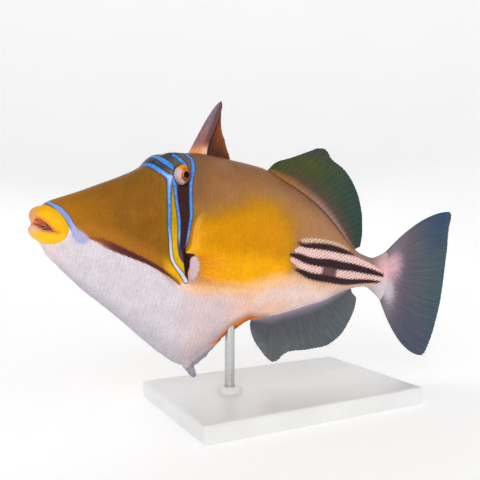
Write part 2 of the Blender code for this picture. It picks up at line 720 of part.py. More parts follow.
def stand(finish, steel):
    length, width, height = BASE_SIZE
    base = box("stand_base", (-length / 2, -width / 2, 0), (length / 2, width / 2, height))
    bevel = base.modifiers.new("rounded_edges", "BEVEL")
    bevel.width = BASE_BEVEL * MM
    bevel.segments = 2
    apply_modifiers(base)
    combine(base, [rod_cylinder("collar", COLLAR_RADIUS, height / 2, height + COLLAR_HEIGHT)], "UNION")
    combine(base, [rod_cylinder("bore", ROD_RADIUS + GAP, height / 2, height + 50)], "DIFFERENCE")
    base.data.materials.clear()
    base.data.materials.append(finish)
    rod = rod_cylinder("stand_rod", ROD_RADIUS, height / 2 + GAP, rod_top())
    rod.data.materials.append(steel)


def main():
    for obj in list(bpy.data.objects):
        bpy.data.objects.remove(obj)
    pose = bpy.data.objects.new("fish_pose", None)
    bpy.context.scene.collection.objects.link(pose)
    pose.rotation_euler = (0, PITCH, 0)
    pose.location = Vector(fish_offset()) * MM
    bpy.context.view_layer.update()

    skin = material("skin", (0.55, 0.30, 0.08), 0.45)
    lips = material("lips", (0.95, 0.55, 0.02), 0.4)
    eye_coat = material("eye", (0.75, 0.30, 0.08), 0.2)
    green_web = material("dorsal_web", (0.07, 0.13, 0.08), 0.5)
    slate_web = material("slate_web", (0.10, 0.13, 0.16), 0.5)
    gold_web = material("pectoral_web", (0.90, 0.50, 0.12), 0.5)
    spine_coat = material("spine", (0.30, 0.24, 0.30), 0.55)
    belly_coat = material("belly_rim", (0.45, 0.42, 0.48), 0.5)
    finish = material("stand_finish", (0.80, 0.80, 0.79), 0.4)
    steel = material("stand_steel", (0.60, 0.60, 0.60), 0.3, 1.0)

    fish = [
        jaw("jaw_upper", True, lips),
        jaw("jaw_lower", False, lips),
        head(skin),
        torso(skin, pose),
        peduncle(skin),
        eye("eye_left", -1, eye_coat),
        eye("eye_right", 1, eye_coat),
        dorsal_spine(spine_coat),
        soft_fin("dorsal_fin", DORSAL_ROOT, BACK, 1, DORSAL_MARGIN, DORSAL_RAYS, DORSAL_SPREAD, WAVE, green_web),
        soft_fin("anal_fin", ANAL_ROOT, BELLY, -1, ANAL_MARGIN, ANAL_RAYS, ANAL_SPREAD, -WAVE, slate_web),
        caudal_fin(slate_web),
        pectoral_fin("pectoral_fin_left", -1, gold_web),
        pectoral_fin("pectoral_fin_right", 1, gold_web),
        ventral_flap(belly_coat),
        pelvic_knob(belly_coat),
    ]
    for obj in fish:
        obj.parent = pose
    stand(finish, steel)


main()
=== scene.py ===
import math

import bpy
import numpy as np
from mathutils import Matrix, Vector, noise


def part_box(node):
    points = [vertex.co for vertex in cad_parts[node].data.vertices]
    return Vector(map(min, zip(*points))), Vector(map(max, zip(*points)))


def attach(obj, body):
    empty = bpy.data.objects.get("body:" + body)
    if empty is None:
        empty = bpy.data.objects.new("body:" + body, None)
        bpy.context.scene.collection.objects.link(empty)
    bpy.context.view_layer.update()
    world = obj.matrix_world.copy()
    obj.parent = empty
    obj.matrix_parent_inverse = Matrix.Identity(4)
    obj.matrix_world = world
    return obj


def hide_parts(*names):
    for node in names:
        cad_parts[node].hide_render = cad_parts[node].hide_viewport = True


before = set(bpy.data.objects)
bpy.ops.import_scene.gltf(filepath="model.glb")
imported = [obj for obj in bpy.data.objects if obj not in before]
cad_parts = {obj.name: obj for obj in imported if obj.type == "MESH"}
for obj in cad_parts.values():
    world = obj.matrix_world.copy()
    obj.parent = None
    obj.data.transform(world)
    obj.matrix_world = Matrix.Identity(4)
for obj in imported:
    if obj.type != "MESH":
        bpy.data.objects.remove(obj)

# Sizes are in millimetres in the fish's own frame, but for the studio: s runs back from the tip of
# the snout, l to the fish's right and h up. The fish frame is pitched nose up in the world.
MM = 0.001
GAP = 0.3
PITCH = math.radians(9)
FISH_AT = (-123.95027107, 0.0, 94.09583523)

# Body and head.
BACK = (
    (-1.0, 3.6), (-0.85, 4.4), (0.1, 5.8), (2.6, 7.6), (5.5, 9.9), (10.2, 12.5), (18, 16.6), (26, 21.2),
    (35, 26.5), (43, 32.1), (46.6, 37.0), (49, 39.1), (51.5, 39.8), (54, 40), (59, 40.9), (66, 43.7),
    (74, 44.7), (90, 45.0), (102, 44.9), (111, 44.0), (119, 40.8), (129, 37.4), (139, 33.4), (150, 27.4),
    (161, 19.6), (169, 13.6), (178, 9.6), (186, 8.5), (191, 10.4), (197, 14.2),
)
BELLY = (
    (-0.4, -3.6), (-0.2, -4.2), (0.5, -5.4), (1.9, -6.8), (3.8, -7.8), (5.3, -9.1), (6.6, -10.9),
    (9, -13.9), (12.3, -16.3), (16, -19.3), (20, -22.2), (25, -25.9), (34, -31.4), (45, -38.5),
    (56, -46.0), (66, -52.4), (76, -57.1), (80.5, -57.8), (84, -55.3), (88, -51.4), (92, -47.9),
    (96, -44.5), (100, -41.9), (103, -39.8), (106.3, -37.0), (109, -34.8), (112, -33.2), (127, -29.6),
    (145, -23.4), (155, -19.6), (165, -14.4), (174, -10.4), (184, -8.4), (190, -11.0), (197, -15.6),
)
HALF_WIDTH = (
    (-1.0, 0.9), (-0.5, 2.0), (0, 2.8), (1, 4.1), (2.5, 5.6), (5, 6.9), (8, 7.8), (12, 8.8), (25, 10.6),
    (40, 13.0), (55, 15.2), (68, 16.6), (84, 16.8), (104, 15.6), (125, 12.6), (145, 9.2), (165, 6.2),
    (180, 4.6), (190, 3.9), (197, 3.1),
)
WIDEST = ((2, 0), (12, -1), (25, -1), (45, 2), (66, 6), (90, 8), (120, 5), (150, 3), (174, 1), (197, -0.5))
BACK_BLUNT = (
    (2, 2.0), (30, 2.2), (44, 2.8), (52, 5.0), (60, 5.0), (68, 3.0), (80, 2.2), (90, 2.0), (197, 2.0),
)
BACK_EDGE = ((2, 0.5), (66, 0.5), (90, 0.58), (112, 0.66), (165, 0.62), (186, 0.5), (197, 0.5))
BELLY_BLUNT = ((2, 2), (40, 2), (80, 1.9), (197, 2))
BELLY_EDGE = (
    (2, 0.5), (20, 0.52), (45, 0.66), (66, 0.86), (84, 1.08), (112, 0.86), (150, 0.7), (186, 0.5),
    (197, 0.5),
)
BODY_START = 11.6
BODY_END = 197.0
BODY_STEP = 0.9
BODY_POINTS = 192
JAW_POINTS = 120
BROW_AT = (55.6, 10.4)
BROW_SIZE = (6.2, 11.0, 3.9)
BROW_RAISE = 3.8
EYE_AT = (58.8, 30.6)
EYE_RADII = (3.8, 4.4, 4.65)
EYE_SUNK = 0.9
SOCKET_CLEAR = 0.25
ORBIT_RAISE = 1.2
ORBIT_SPREAD = 6.5
NOSTRILS = ((51.6, 30.2, 0.6), (49.4, 29.4, 0.5))
NOSTRIL_OUT = 0.4
NOSTRIL_DEPTH = 1.4
UPPER_RIM = (
    (-1.0, 2.4), (-0.8, 1.2), (-0.4, 0.4), (0.0, -0.2), (0.4, -0.5), (0.7, 0.4), (1.0, 1.6), (1.7, 2.0),
    (2.9, 1.8), (4.1, 1.2), (5.5, 0.4), (6.8, -0.7), (7.9, -1.7), (9.2, -2.5), (10.4, -2.7), (13, -2.8),
)
LOWER_RIM = (
    (-0.4, -3.0), (-0.1, -1.7), (0.4, -1.1), (0.9, -1.15), (2.0, -1.5), (3.2, -2.2), (4.4, -2.6),
    (5.7, -2.75), (8, -2.85), (10.4, -3.0), (13, -3.1),
)
UPPER_WIDEST = ((-1.0, 3.0), (0.4, 2.4), (1.2, 3.4), (3, 3.6), (6, 2.2), (9, 0.0), (13, -1.2))
LOWER_WIDEST = ((-0.4, -3.3), (0.4, -3.2), (2, -3.9), (6, -4.7), (10, -4.9), (13, -3.6))
RIM_BLUNT = ((-1.0, 2.4), (-0.2, 5.0), (0.6, 6.0), (1.1, 3.4), (2, 3.2), (6, 3.6), (10, 6.0), (13, 12.0))
JAW_MEET = (
    (-1.0, -0.75), (0.4, -0.8), (2.5, -0.8), (4, -1.2), (5.5, -1.6), (8, -2.35), (10.4, -2.85), (13, -2.95),
)
MOUTH_FLOOR = ((0.8, 2.5), (1.6, 3.6), (2.6, 4.3), (4, 4.8), (5.6, 5.3), (8, 6.0), (12, 7.0))
MOUTH_FLOOR_HALF = 2.7
GILL_AT = (66.8, -9.0)
GILL_RADII = (1.1, 3.2, 8.4)
GILL_LEAN = math.radians(13)
GILL_OUT = 0.6

# Fins, spines and the rod.
SPINE_FRONT = ((65.4, 41.5), (69.2, 52.0), (72.7, 61.1), (76.2, 68.4), (78.3, 71.6))
SPINE_REAR = ((75.6, 42.0), (75.9, 49.0), (77.6, 56.0), (79.4, 63.5), (80.6, 70.4))
SPINE_HALF_WIDTH = 1.9
WEB_EDGE = ((81.0, 67.5), (81.6, 60.9), (84.3, 54.0), (87.4, 47.4))
WEB_ROOT = ((75.6, 43.0), (88.6, 43.4))
WEB_LIFT = 0.2
DORSAL_ROOT = (110.8, 173.0)
DORSAL_MARGIN = (
    (113.0, 48.0), (115.6, 49.8), (121.5, 52.5), (132.9, 58.6), (138.8, 61.5), (142.4, 61.9), (145.2, 60.5),
    (147.8, 58.1), (151.4, 56.6), (156.7, 55.1), (162.8, 52.0), (168.0, 47.7), (172.2, 42.4), (174.8, 36.3),
    (176.1, 29.8), (176.1, 23.1), (174.8, 13.4),
)
DORSAL_RAYS = 25
DORSAL_SPREAD = 0.72
ANAL_ROOT = (112.9, 173.6)
ANAL_MARGIN = (
    (113.6, -35.3), (114.6, -38.2), (117.9, -43.6), (122.5, -48.2), (127.5, -52.5), (130.7, -54.0),
    (133.5, -52.7), (135.8, -49.9), (138.5, -48.1), (141.3, -47.3), (147.5, -46.3), (153.6, -44.8),
    (159.9, -43.1), (165.4, -39.6), (170.1, -35.3), (173.8, -30.0), (177.2, -24.5), (179.2, -19.4),
    (179.8, -15.6), (176.2, -12.6),
)
ANAL_RAYS = 23
ANAL_SPREAD = 0.82
CAUDAL_ROOT = ((196.3, 13.6), (196.3, -15.0))
CAUDAL_MARGIN = (
    (242.6, 44.4), (244.8, 43.0), (245.2, 40.2), (244.6, 35.0), (244.7, 30.0), (245.3, 22.0), (244.9, 12.0),
    (244.1, -1.0), (242.9, -12.0), (241.0, -22.0), (239.1, -31.0), (237.0, -38.0), (234.6, -43.6),
    (232.4, -45.0),
)
CAUDAL_RAYS = 23
CAUDAL_BOW = (5.3, -6.9)
SOFT_ROOT_HALF = 1.3
SOFT_TIP_HALF = 0.22
WAVE = 2.4
PECTORAL_ROOT = ((70.0, -4.8), (70.4, -15.8))
PECTORAL_RAYS = 13
PECTORAL_ANGLES = (math.radians(14), math.radians(-62))
PECTORAL_LENGTHS = (
    (0.0, 16.5), (0.08, 20.5), (0.25, 23.0), (0.5, 22.0), (0.75, 17.5), (0.93, 12.5), (1.0, 9.0),
)
PECTORAL_FLARE = 0.17
RAY_COLUMNS = 12
CAUDAL_COLUMNS = 14
SOFT_JOINTS = 26
CAUDAL_JOINTS = 34
JOINT_RELIEF = 0.03
SOFT_RIDGE = 0.12
CAUDAL_RIDGE = 0.08
PECTORAL_RIDGE = 0.14
FLAP_ROOT = (83.2, 97.2)
FLAP_DEPTH = ((0.0, 2.6), (0.2, 2.8), (0.38, 3.2), (0.52, 2.4), (0.72, 1.6), (1.0, 0.6))
FLAP_LEAN = 0.62
FLAP_HALF = 0.62
KNOB_ROOT = (80.6, -56.2)
KNOB_TIP = (86.1, -62.8)
KNOB_RADII = (3.1, 1.6)
TAIL_SPINE_ROWS = (
    (((131.0, 9.0), (147.0, 9.6), (159.0, 9.2), (168.0, 8.4)), 10),
    (((127.0, 2.4), (143.0, 1.0), (160.0, 1.1), (190.0, -0.3)), 18),
    (((133.0, -5.2), (150.0, -6.9), (168.5, -7.0), (188.0, -4.8)), 15),
)
TAIL_SPINE_RADIUS = 0.62
TAIL_SPINE_RISE = 1.25
TAIL_SPINE_SUNK = 0.5
ROD_RADIUS = 2.5
ROD_HOLE_LOW = 10.0

# Skin, its scales and its folds.
SKIN_VOXEL = 0.6
SCALE_HEIGHT = 1.45
SCALE_RELIEF = 0.05
LIP_SWELL = 0.42
FOLD_RELIEF = 1.1
LOBE_RELIEF = 0.7
LOBE_AT = (71.0, -11.2)
LOBE_RADII = (2.7, 6.1)
SLOT_DEPTH = 0.25
SHOULDER_FOLD = ((69.4, 15.5), (67.6, 12.6), (66.9, 8.7), (67.0, 2.8), (66.8, -0.3), (65.6, -3.8))
OUTER_SIDE = 8
MOUTH_CORNER = 11.2

# Markings as lines on the flank: s, h and half width.
BLUE_LINES = (
    ((53.2, 28.8, 1.44), (53.4, 26.2, 1.17), (53.6, 22.8, 0.85), (55.2, 11.6, 0.67), (56.1, 6, 0.63),
     (57.4, 0.4, 0.58), (58.7, -5.1, 0.58), (60.2, -8.4, 0.59), (62.9, -11.3, 0.68), (65.8, -13.9, 0.82),
     (68.2, -16.6, 0.87)),
    ((54.4, 29, 1.17), (55.6, 26, 0.68), (57.8, 17.8, 0.58), (59.5, 12.3, 0.63), (60.6, 6.7, 0.58),
     (61.3, 1, 0.54), (62.3, -3.2, 0.45), (63.7, -6.2, 0.36), (66.2, -8.6, 0.37)),
    ((64.2, 36, 0.97), (63.7, 32.9, 0.92), (63.2, 30.1, 0.77), (63.1, 26.3, 0.68), (64.3, 18.9, 0.68),
     (65.2, 13.2, 0.59), (65.2, 8.5, 0.5), (65.2, 3.9, 0.4), (65.0, 0.7, 0.34),
     (64.5, -1.6, 0.24)),
)
MAROON_LINE = (
    (22.3, -3.0, 0.45), (26.7, -3.7, 1.49), (31.8, -5.3, 1.76), (37.4, -6.9, 1.64), (43.5, -8.6, 1.38),
    (49.8, -10.5, 1.10), (56.4, -13.1, 0.85), (62.4, -16.1, 0.58), (65.6, -18.4, 0.45),
)
DARK_BAND = (
    (59.4, 29, 2.6), (60.2, 24, 3.0), (60.8, 19.6, 3.4), (62.3, 12.7, 3.0), (62.9, 7, 2.4),
    (63.2, 1.3, 1.9), (63.8, -1.6, 1.4), (64.8, -3.9, 1.0),
)
YELLOW_WEDGE = (
    (54.6, 26.9, 0.3), (55.1, 22, 0.8), (55.8, 18.8, 1.1), (57.6, 9.1, 1.7), (59.3, 0.7, 1.9),
    (60.8, -4.9, 1.7), (63, -8.4, 1.6), (66.3, -11.4, 1.2), (68.0, -14.0, 0.7),
)
CHEEK_RIM = (
    (51.6, 26.5, 0.6), (51.8, 20, 0.7), (53.4, 10, 0.8), (54.6, 2, 0.9), (56.0, -5, 1.1), (58.6, -10, 1.5),
    (62.0, -13.6, 1.6), (66.0, -17.2, 1.3),
)
STRIPES = (
    ((127.2, 9.1, 0.3), (132.1, 8.4, 0.77), (138.6, 9.1, 1.2), (147.1, 9.6, 1.46), (152.9, 9.5, 1.51),
     (158.9, 9.2, 1.31), (163.9, 8.8, 0.88), (169.1, 8.4, 0.17)),
    ((123.1, 2.8, 0.45), (128.9, 2.3, 1.38), (134.5, 1.2, 1.6), (142.9, 1, 1.79), (151.2, 1.5, 2.09),
     (160, 1.1, 2.13), (168.7, 1.2, 1.89), (177.7, 0.7, 1.65), (184.9, 0.2, 1.33), (192.4, -0.7, 0.7)),
    ((128, -4.3, 0.25), (133.6, -5.3, 1.19), (139.4, -6.5, 1.52), (146.2, -6.8, 1.75), (153.6, -6.9, 1.73),
     (161.3, -7.2, 1.7), (168.5, -7, 1.56), (177, -5.9, 1.31), (184.3, -5.1, 0.92), (190.8, -4.6, 0.23)),
)
PINK_BANDS = (
    ((126.5, 5.2, 0.81), (130.9, 5.9, 1.64), (139.2, 5.4, 2.1), (147.6, 5.8, 2.1), (159.2, 5.5, 2.1),
     (171.3, 4.9, 1.9), (182.2, 3.1, 1.5), (189.6, 1.1, 0.7)),
    ((124.7, 0.5, 0.76), (132.6, -1.8, 1.8), (141.2, -3.2, 2.2), (146, -3.1, 1.8)),
    ((158.1, -3.2, 1.9), (166.9, -3, 2.3), (175.6, -2.5, 2.0), (184.4, -2.5, 1.6), (191.5, -2.7, 0.8)),
)
CREAM_ROW = (
    (130, 10.7, 0.61), (138, 11.8, 0.78), (146.5, 12.1, 0.9), (155.9, 11.7, 0.87), (164.7, 10.1, 0.5),
)
VENT_LINE = (
    (92.5, -46.6, 0.4), (96.5, -43.6, 1.6), (100.5, -39.8, 3.2), (104.0, -36.4, 3.8), (107.6, -33.4, 3.1),
    (110.2, -31.8, 2.0), (114.0, -31.2, 1.1), (120.0, -30.4, 0.5),
)
# Gill opening ahead of and above the base of the pectoral fin, painted dark as shade inside it, in the side
# view: s, h and half width.
GILL_SLOT = (
    (63.9, -1.8, 1.0), (65.0, -4.2, 1.3), (66.5, -6.4, 1.8), (67.2, -8.8, 1.4), (67.6, -11.2, 0.95),
    (68.0, -13.6, 0.6), (68.6, -16.0, 0.28),
)
GILL_TOP = ((66.0, -5.0, 1.2), (67.8, -4.7, 1.0), (69.6, -4.1, 0.3))
# Bands over the head and behind the lips: s, l, h and half width.
BROW_BANDS = (
    ((43.4, 0, 33.0, 0.85), (44.4, 3.2, 33.5, 0.93), (45.9, 6.9, 33.1, 0.96), (48.2, 11, 31.4, 1.04),
     (51, 13.2, 29.7, 1.13), (53.2, 14.3, 28.2, 1.35)),
    ((47.3, 0, 37.4, 0.61), (48.2, 3.9, 37.8, 0.75), (49.4, 8.8, 36.5, 0.95), (51.3, 11.5, 35.1, 1.18),
     (53.2, 12.7, 34.1, 1.18), (54.5, 13.5, 32.7, 0.73)),
    ((50.8, 0, 40, 0.6), (51.6, 5, 40.2, 0.62), (53.7, 9.5, 39.2, 0.7), (55.9, 11.2, 38.7, 0.86),
     (57.9, 12.3, 37.4, 0.96), (59.7, 13.3, 35.9, 0.73), (61, 13.8, 35, 0.46)),
    ((57.6, 0, 41.2, 0.6), (58.4, 5, 41.8, 0.62), (60.1, 9.2, 41, 0.74), (61.8, 10.9, 40, 0.88),
     (63.6, 11.9, 38.4, 0.93), (64.1, 13.1, 36, 0.97)),
)
LIP_BAND = (
    (4.6, 0, 9.6, 0.7), (5.8, 3.6, 9, 0.84), (9, 6.3, 7.4, 1.01), (12.1, 8, 4.8, 1.01),
    (14.6, 9.1, 1.6, 0.96), (16.4, 9.5, -1, 1.23), (18.1, 9.6, -2.9, 2.19), (20.2, 9.8, -4.1, 2.02),
    (21.9, 10, -4.3, 1.05),
)
# Areas as closed outlines in the side view: s and h.
LIPS_AREA = (
    (-3, 7.9), (2.4, 8.3), (5.2, 7.9), (8.4, 6.6), (11.4, 3.9), (13.6, 0.9), (14.2, -1.4), (13.6, -4.3),
    (11.7, -6.7), (8.6, -8.2), (5.4, -8.5), (3.4, -7.9), (1, -7.2), (-3, -7),
)
BROW_AREA = (
    (42.4, 35.6), (44.2, 33.1), (48.2, 30.9), (53.4, 28), (55.6, 29.6), (57, 33.2), (60, 35.4), (64, 35.6),
    (64.6, 38.6), (63, 41), (60.6, 43), (58.4, 50), (42, 50),
)
CHEEK_AREA = (
    (4, 12), (6.5, 8.6), (12.2, 5), (16.4, -0.6), (20, -3.6), (26.7, -4.2), (37.4, -7.4), (49.8, -11),
    (57.6, -14.4), (64.7, -18.2), (67, -17.4), (63, -11.6), (60.2, -8.4), (58.7, -5.1), (57.4, 0.4),
    (55.2, 11.6), (53.6, 22.8), (53.2, 28.8), (44, 34.5), (38, 40), (4, 22),
)
GOLD_AREA = (
    (62, 9.5), (67.4, 10.6), (74.4, 13.4), (81.8, 16.4), (87.5, 19.6), (92.4, 21.8), (98.8, 23.8),
    (106.2, 24.4), (113.0, 23.2), (118.2, 20.2), (121.0, 16.2), (122.6, 10), (123.4, 2.5), (124, -5.1),
    (122.5, -11), (116, -14.5), (103.5, -16), (92, -16), (80, -15), (72, -13), (62, -10),
)
BELLY_AREA = (
    (-3, -6.4), (4, -6), (9, -5.4), (12, -2.6), (13.6, 0.4), (16.2, -1.2), (19.5, -3), (26.7, -4.4),
    (37.4, -8), (49.8, -11.2), (57.6, -14.6), (66, -18.6), (70, -19.8), (84, -19.2), (100, -18.6),
    (116, -12.5), (128, -10), (150, -12), (175, -9), (186, -5.6), (200, -5), (200, -30), (150, -60),
    (90, -75), (-3, -70),
)

# Studio, in metres.
FLOOR_RADIUS = 1.2
FLOOR_SIDES = 96
WALL_BEND = 1.0
WALL_TOP = 2.4
WORLD_STRENGTH = 0.225
LAMPS = (
    ("key", (-0.62, -0.95, 0.45), 0.8, 4.0),
    ("fill", (0.9, -0.8, 0.3), 0.9, 0.84),
    ("top", (0.1, 0.0, 1.35), 1.1, 1.5),
    ("back", (0.4, 1.1, 1.0), 1.4, 3.8),
)
LIT_POINT = (0, 0, 0.085)
CAMERA_TARGET = (-0.023871, 0.0, 0.084826)
CAMERA_AZIMUTH = math.radians(-28)
CAMERA_ELEVATION = math.radians(2)
CAMERA_DISTANCE = 0.30
CAMERA_LENS = 44.8155


def curve(points, at):
    """Values at places on the smooth curve through the points, with no overshoot between them."""
    x, y = np.array(points, float).T
    rise = np.diff(y) / np.diff(x)
    slopes = np.concatenate([rise[:1], np.zeros(len(x) - 2), rise[-1:]])
    product = rise[:-1] * rise[1:]
    steady = product > 0
    slopes[1:-1][steady] = 2 * product[steady] / (rise[:-1] + rise[1:])[steady]
    at = np.clip(np.asarray(at, float), x[0], x[-1])
    i = np.clip(np.searchsorted(x, at, side="right") - 1, 0, len(x) - 2)
    width = x[i + 1] - x[i]
    t = (at - x[i]) / width
    start = y[i] * (1 + 2 * t) * (1 - t) ** 2 + slopes[i] * width * t * (1 - t) ** 2
    return start + y[i + 1] * t * t * (3 - 2 * t) + slopes[i + 1] * width * t * t * (t - 1)


def along(points, share):
    """Points at shares of the length of the smooth line through the points, one array for each axis."""
    lengths = np.concatenate([[0], np.cumsum([math.dist(a, b) for a, b in zip(points, points[1:])])])
    at = np.asarray(share, float) * lengths[-1]
    return [curve(list(zip(lengths, axis)), at) for axis in zip(*points)]


def smoothstep(low, high, value):
    """Smooth rise from 0 to 1 between low and high."""
    t = np.clip((value - low) / (high - low), 0, 1)
    return t * t * (3 - 2 * t)


def circle(count):
    """Angles evenly spaced round a full turn."""
    return 2 * np.pi * np.arange(count) / count


def flank(s, h):
    """Half the body's width at stations and heights."""
    s, h = np.broadcast_arrays(np.asarray(s, float), np.asarray(h, float))
    middle = curve(WIDEST, s)
    up = h >= middle
    extent = np.where(up, curve(BACK, s), curve(BELLY, s)) - middle
    blunt = np.where(up, curve(BACK_BLUNT, s), curve(BELLY_BLUNT, s))
    edge = np.where(up, curve(BACK_EDGE, s), curve(BELLY_EDGE, s))
    share = np.minimum(np.abs((h - middle) / extent), 1.0)
    orbit = np.hypot(s - EYE_AT[0], h - EYE_AT[1]) / ORBIT_SPREAD
    raised = np.where(share < 1, ORBIT_RAISE * np.exp(-orbit * orbit), 0)
    return curve(HALF_WIDTH, s) * (1 - share**blunt) ** edge + raised


def brow(s, across, above):
    """Height of the ridge over the eye."""
    ahead, behind, side = BROW_SIZE
    gone = s - BROW_AT[0]
    along_ridge = np.where(gone < 0, (gone / ahead) ** 4, (gone / behind) ** 2)
    high = np.clip((above - 26.0) / 6.0, 0, 1)
    return BROW_RAISE * np.exp(-along_ridge - ((across - BROW_AT[1]) / side) ** 2) * high


def body_rings(places, count):
    """Rings of points round the body, one for each station."""
    s = np.asarray(places, float)[:, None]
    turn = circle(count)
    middle = curve(WIDEST, s)
    rim = np.where(np.sin(turn) >= 0, curve(BACK, s), curve(BELLY, s))
    h = middle + np.sin(turn) * np.abs(rim - middle)
    across = flank(s, h)
    across = np.where(np.abs(np.cos(turn)) < 1e-9, 0, across)
    h = h + brow(s, across, h - middle)
    return np.stack(np.broadcast_arrays(s, across * np.sign(np.cos(turn)), h), axis=-1)


def jaw_rings(places, above, count):
    """Rings of points round the upper or lower jaw, one for each station."""
    s = np.asarray(places, float)[:, None]
    turn = circle(count)
    lift = np.sin(turn)
    outer = curve(BACK if above else BELLY, s)
    rim = curve(UPPER_RIM if above else LOWER_RIM, s)
    widest = curve(UPPER_WIDEST if above else LOWER_WIDEST, s)
    on_rim = (lift < 0) == above
    extent = np.where(on_rim, rim, outer) - widest
    blunt = np.where(on_rim, curve(RIM_BLUNT, s), 2.0)
    across = curve(HALF_WIDTH, s) * (1 - np.minimum(np.abs(lift), 1) ** blunt) ** 0.5
    across = np.where(np.abs(np.cos(turn)) < 1e-9, 0, across)
    h = widest + np.abs(lift) * extent
    return np.stack(np.broadcast_arrays(s, across * np.sign(np.cos(turn)), h), axis=-1)


def mesh_object(name, points, faces):
    """Object from points in the fish frame, in millimetres."""
    mesh = bpy.data.meshes.new(name)
    mesh.from_pydata((np.asarray(points, float) * MM).tolist(), [], faces)
    mesh.validate()
    made = bpy.data.objects.new(name, mesh)
    bpy.context.scene.collection.objects.link(made)
    return made


def lofted(name, rings):
    """Closed solid through an array of rings of points."""
    rows, count = rings.shape[:2]
    index = np.arange(rows * count).reshape(rows, count)
    after = np.roll(index, -1, axis=1)
    quads = np.stack([index[:-1], after[:-1], after[1:], index[1:]], axis=-1).reshape(-1, 4).tolist()
    ends = [index[0, ::-1].tolist(), index[-1].tolist()]
    made = mesh_object(name, rings.reshape(-1, 3), quads + ends)
    face_outward(made.data)
    return made


def face_outward(mesh):
    """Turns the faces of a closed mesh outward."""
    mesh.calc_loop_triangles()
    corners = np.zeros(len(mesh.loop_triangles) * 3, int)
    mesh.loop_triangles.foreach_get("vertices", corners)
    a, b, c = vertex_values(mesh)[corners].reshape(-1, 3, 3).transpose(1, 0, 2)
    if np.einsum("ij,ij->i", a, np.cross(b, c)).sum() < 0:
        mesh.flip_normals()


def vertex_values(mesh, kind="co"):
    """Places or normals of the vertices."""
    flat = np.zeros(len(mesh.vertices) * 3, np.float32)
    mesh.vertices.foreach_get(kind, flat)
    return flat.reshape(-1, 3).astype(float)


def move_vertices(mesh, places):
    mesh.vertices.foreach_set("co", np.asarray(places, np.float32).ravel())
    mesh.update()


def write_attribute(mesh, name, values):
    """Stores a number or a vector for each vertex, for the material to read."""
    values = np.asarray(values, np.float32)
    if values.ndim == 1:
        mesh.attributes.new(name, "FLOAT", "POINT").data.foreach_set("value", values)
    else:
        mesh.attributes.new(name, "FLOAT_VECTOR", "POINT").data.foreach_set("vector", values.ravel())


def ellipsoid(name, centre, radii, segments=48, rings=28, lean=0.0):
    """Closed ellipsoid whose poles lie along l, leant about l."""
    angle = np.pi * np.linspace(0.02, 0.98, rings)[:, None]
    turn = circle(segments)
    x = np.sin(angle) * np.cos(turn) * radii[0]
    y = -np.cos(angle) * np.ones_like(turn) * radii[1]
    z = np.sin(angle) * np.sin(turn) * radii[2]
    c, d = math.cos(lean), math.sin(lean)
    rings_at = [centre[0] + x * c - z * d, centre[1] + y, centre[2] + x * d + z * c]
    return lofted(name, np.stack(rings_at, axis=-1))


def apply_modifiers(obj):
    """Puts the object's mesh as its modifiers make it in the place of its mesh."""
    graph = bpy.context.evaluated_depsgraph_get()
    baked = bpy.data.meshes.new_from_object(obj.evaluated_get(graph))
    obj.modifiers.clear()
    obj.data = baked


def cut(target, others):
    """Cuts the others out of the target and removes them."""
    group = bpy.data.collections.new("cutters")
    for other in others:
        group.objects.link(other)
    modifier = target.modifiers.new("cut", "BOOLEAN")
    modifier.operation = "DIFFERENCE"
    modifier.operand_type = "COLLECTION"
    modifier.collection = group
    modifier.solver = "EXACT"
    bpy.context.view_layer.update()
    apply_modifiers(target)
    for other in others:
        bpy.data.objects.remove(other)
    bpy.data.collections.remove(group)


def joined(name, parts):
    """One mesh object holding the meshes of several, which are removed."""
    points, faces = [], []
    for part in parts:
        start = sum(len(p) for p in points)
        points.append(vertex_values(part.data) / MM)
        faces += [[start + v for v in face.vertices] for face in part.data.polygons]
        bpy.data.objects.remove(part)
    return mesh_object(name, np.concatenate(points), faces)


def placed(made, paint, slot, *nodes):
    """Paints a piece, moves it from the fish frame to the world and gives it the place of its solids."""
    made.data.materials.append(paint)
    made.data.transform(Matrix.Translation(Vector(FISH_AT) * MM) @ Matrix.Rotation(PITCH, 4, "Y"))
    made.data.update()
    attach(made, "root")
    if nodes:
        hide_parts(*nodes)
    return made


def on_side(s, h, side, out):
    """Point of the left or right flank, moved out from it."""
    return (s, side * (float(flank(s, h)) + out), h)


def eye_centre(side):
    return on_side(*EYE_AT, side, -EYE_SUNK)


def on_flank(line):
    """Line of (s, h, half width) on the flank as (s, l, h, half width)."""
    return [(s, float(flank(s, h)), h, w) for s, h, w in line]


def refined(line, steps=5):
    """The line with more points, along a smooth curve."""
    points = np.array(line, float)
    padded = np.concatenate([2 * points[:1] - points[1:2], points, 2 * points[-1:] - points[-2:-1]])
    made = []
    for i in range(len(points) - 1):
        a, b, c, d = padded[i : i + 4]
        for t in np.arange(steps) / steps:
            bend, twist = (2 * a - 5 * b + 4 * c - d) * t**2, (3 * b - a - 3 * c + d) * t**3
            made.append(0.5 * (2 * b + (c - a) * t + bend + twist))
    return np.array(made + [points[-1]])


def ribbon(at, line, reach=7.0):
    """Distance inside the edge of a band of changing width, below zero outside it."""
    line = refined(line)
    inside = np.full(len(at), -reach)
    low, high = line[:, :3].min(axis=0) - reach, line[:, :3].max(axis=0) + reach
    near = np.flatnonzero(((at > low) & (at < high)).all(axis=1))
    places, best = at[near], np.full(len(near), -reach)
    for a, b in zip(line[:-1], line[1:]):
        run = b[:3] - a[:3]
        t = np.clip((places - a[:3]) @ run / (run @ run), 0, 1)
        off = np.linalg.norm(places - a[:3] - t[:, None] * run, axis=1)
        best = np.maximum(best, a[3] + t * (b[3] - a[3]) - off)
    inside[near] = best
    return inside


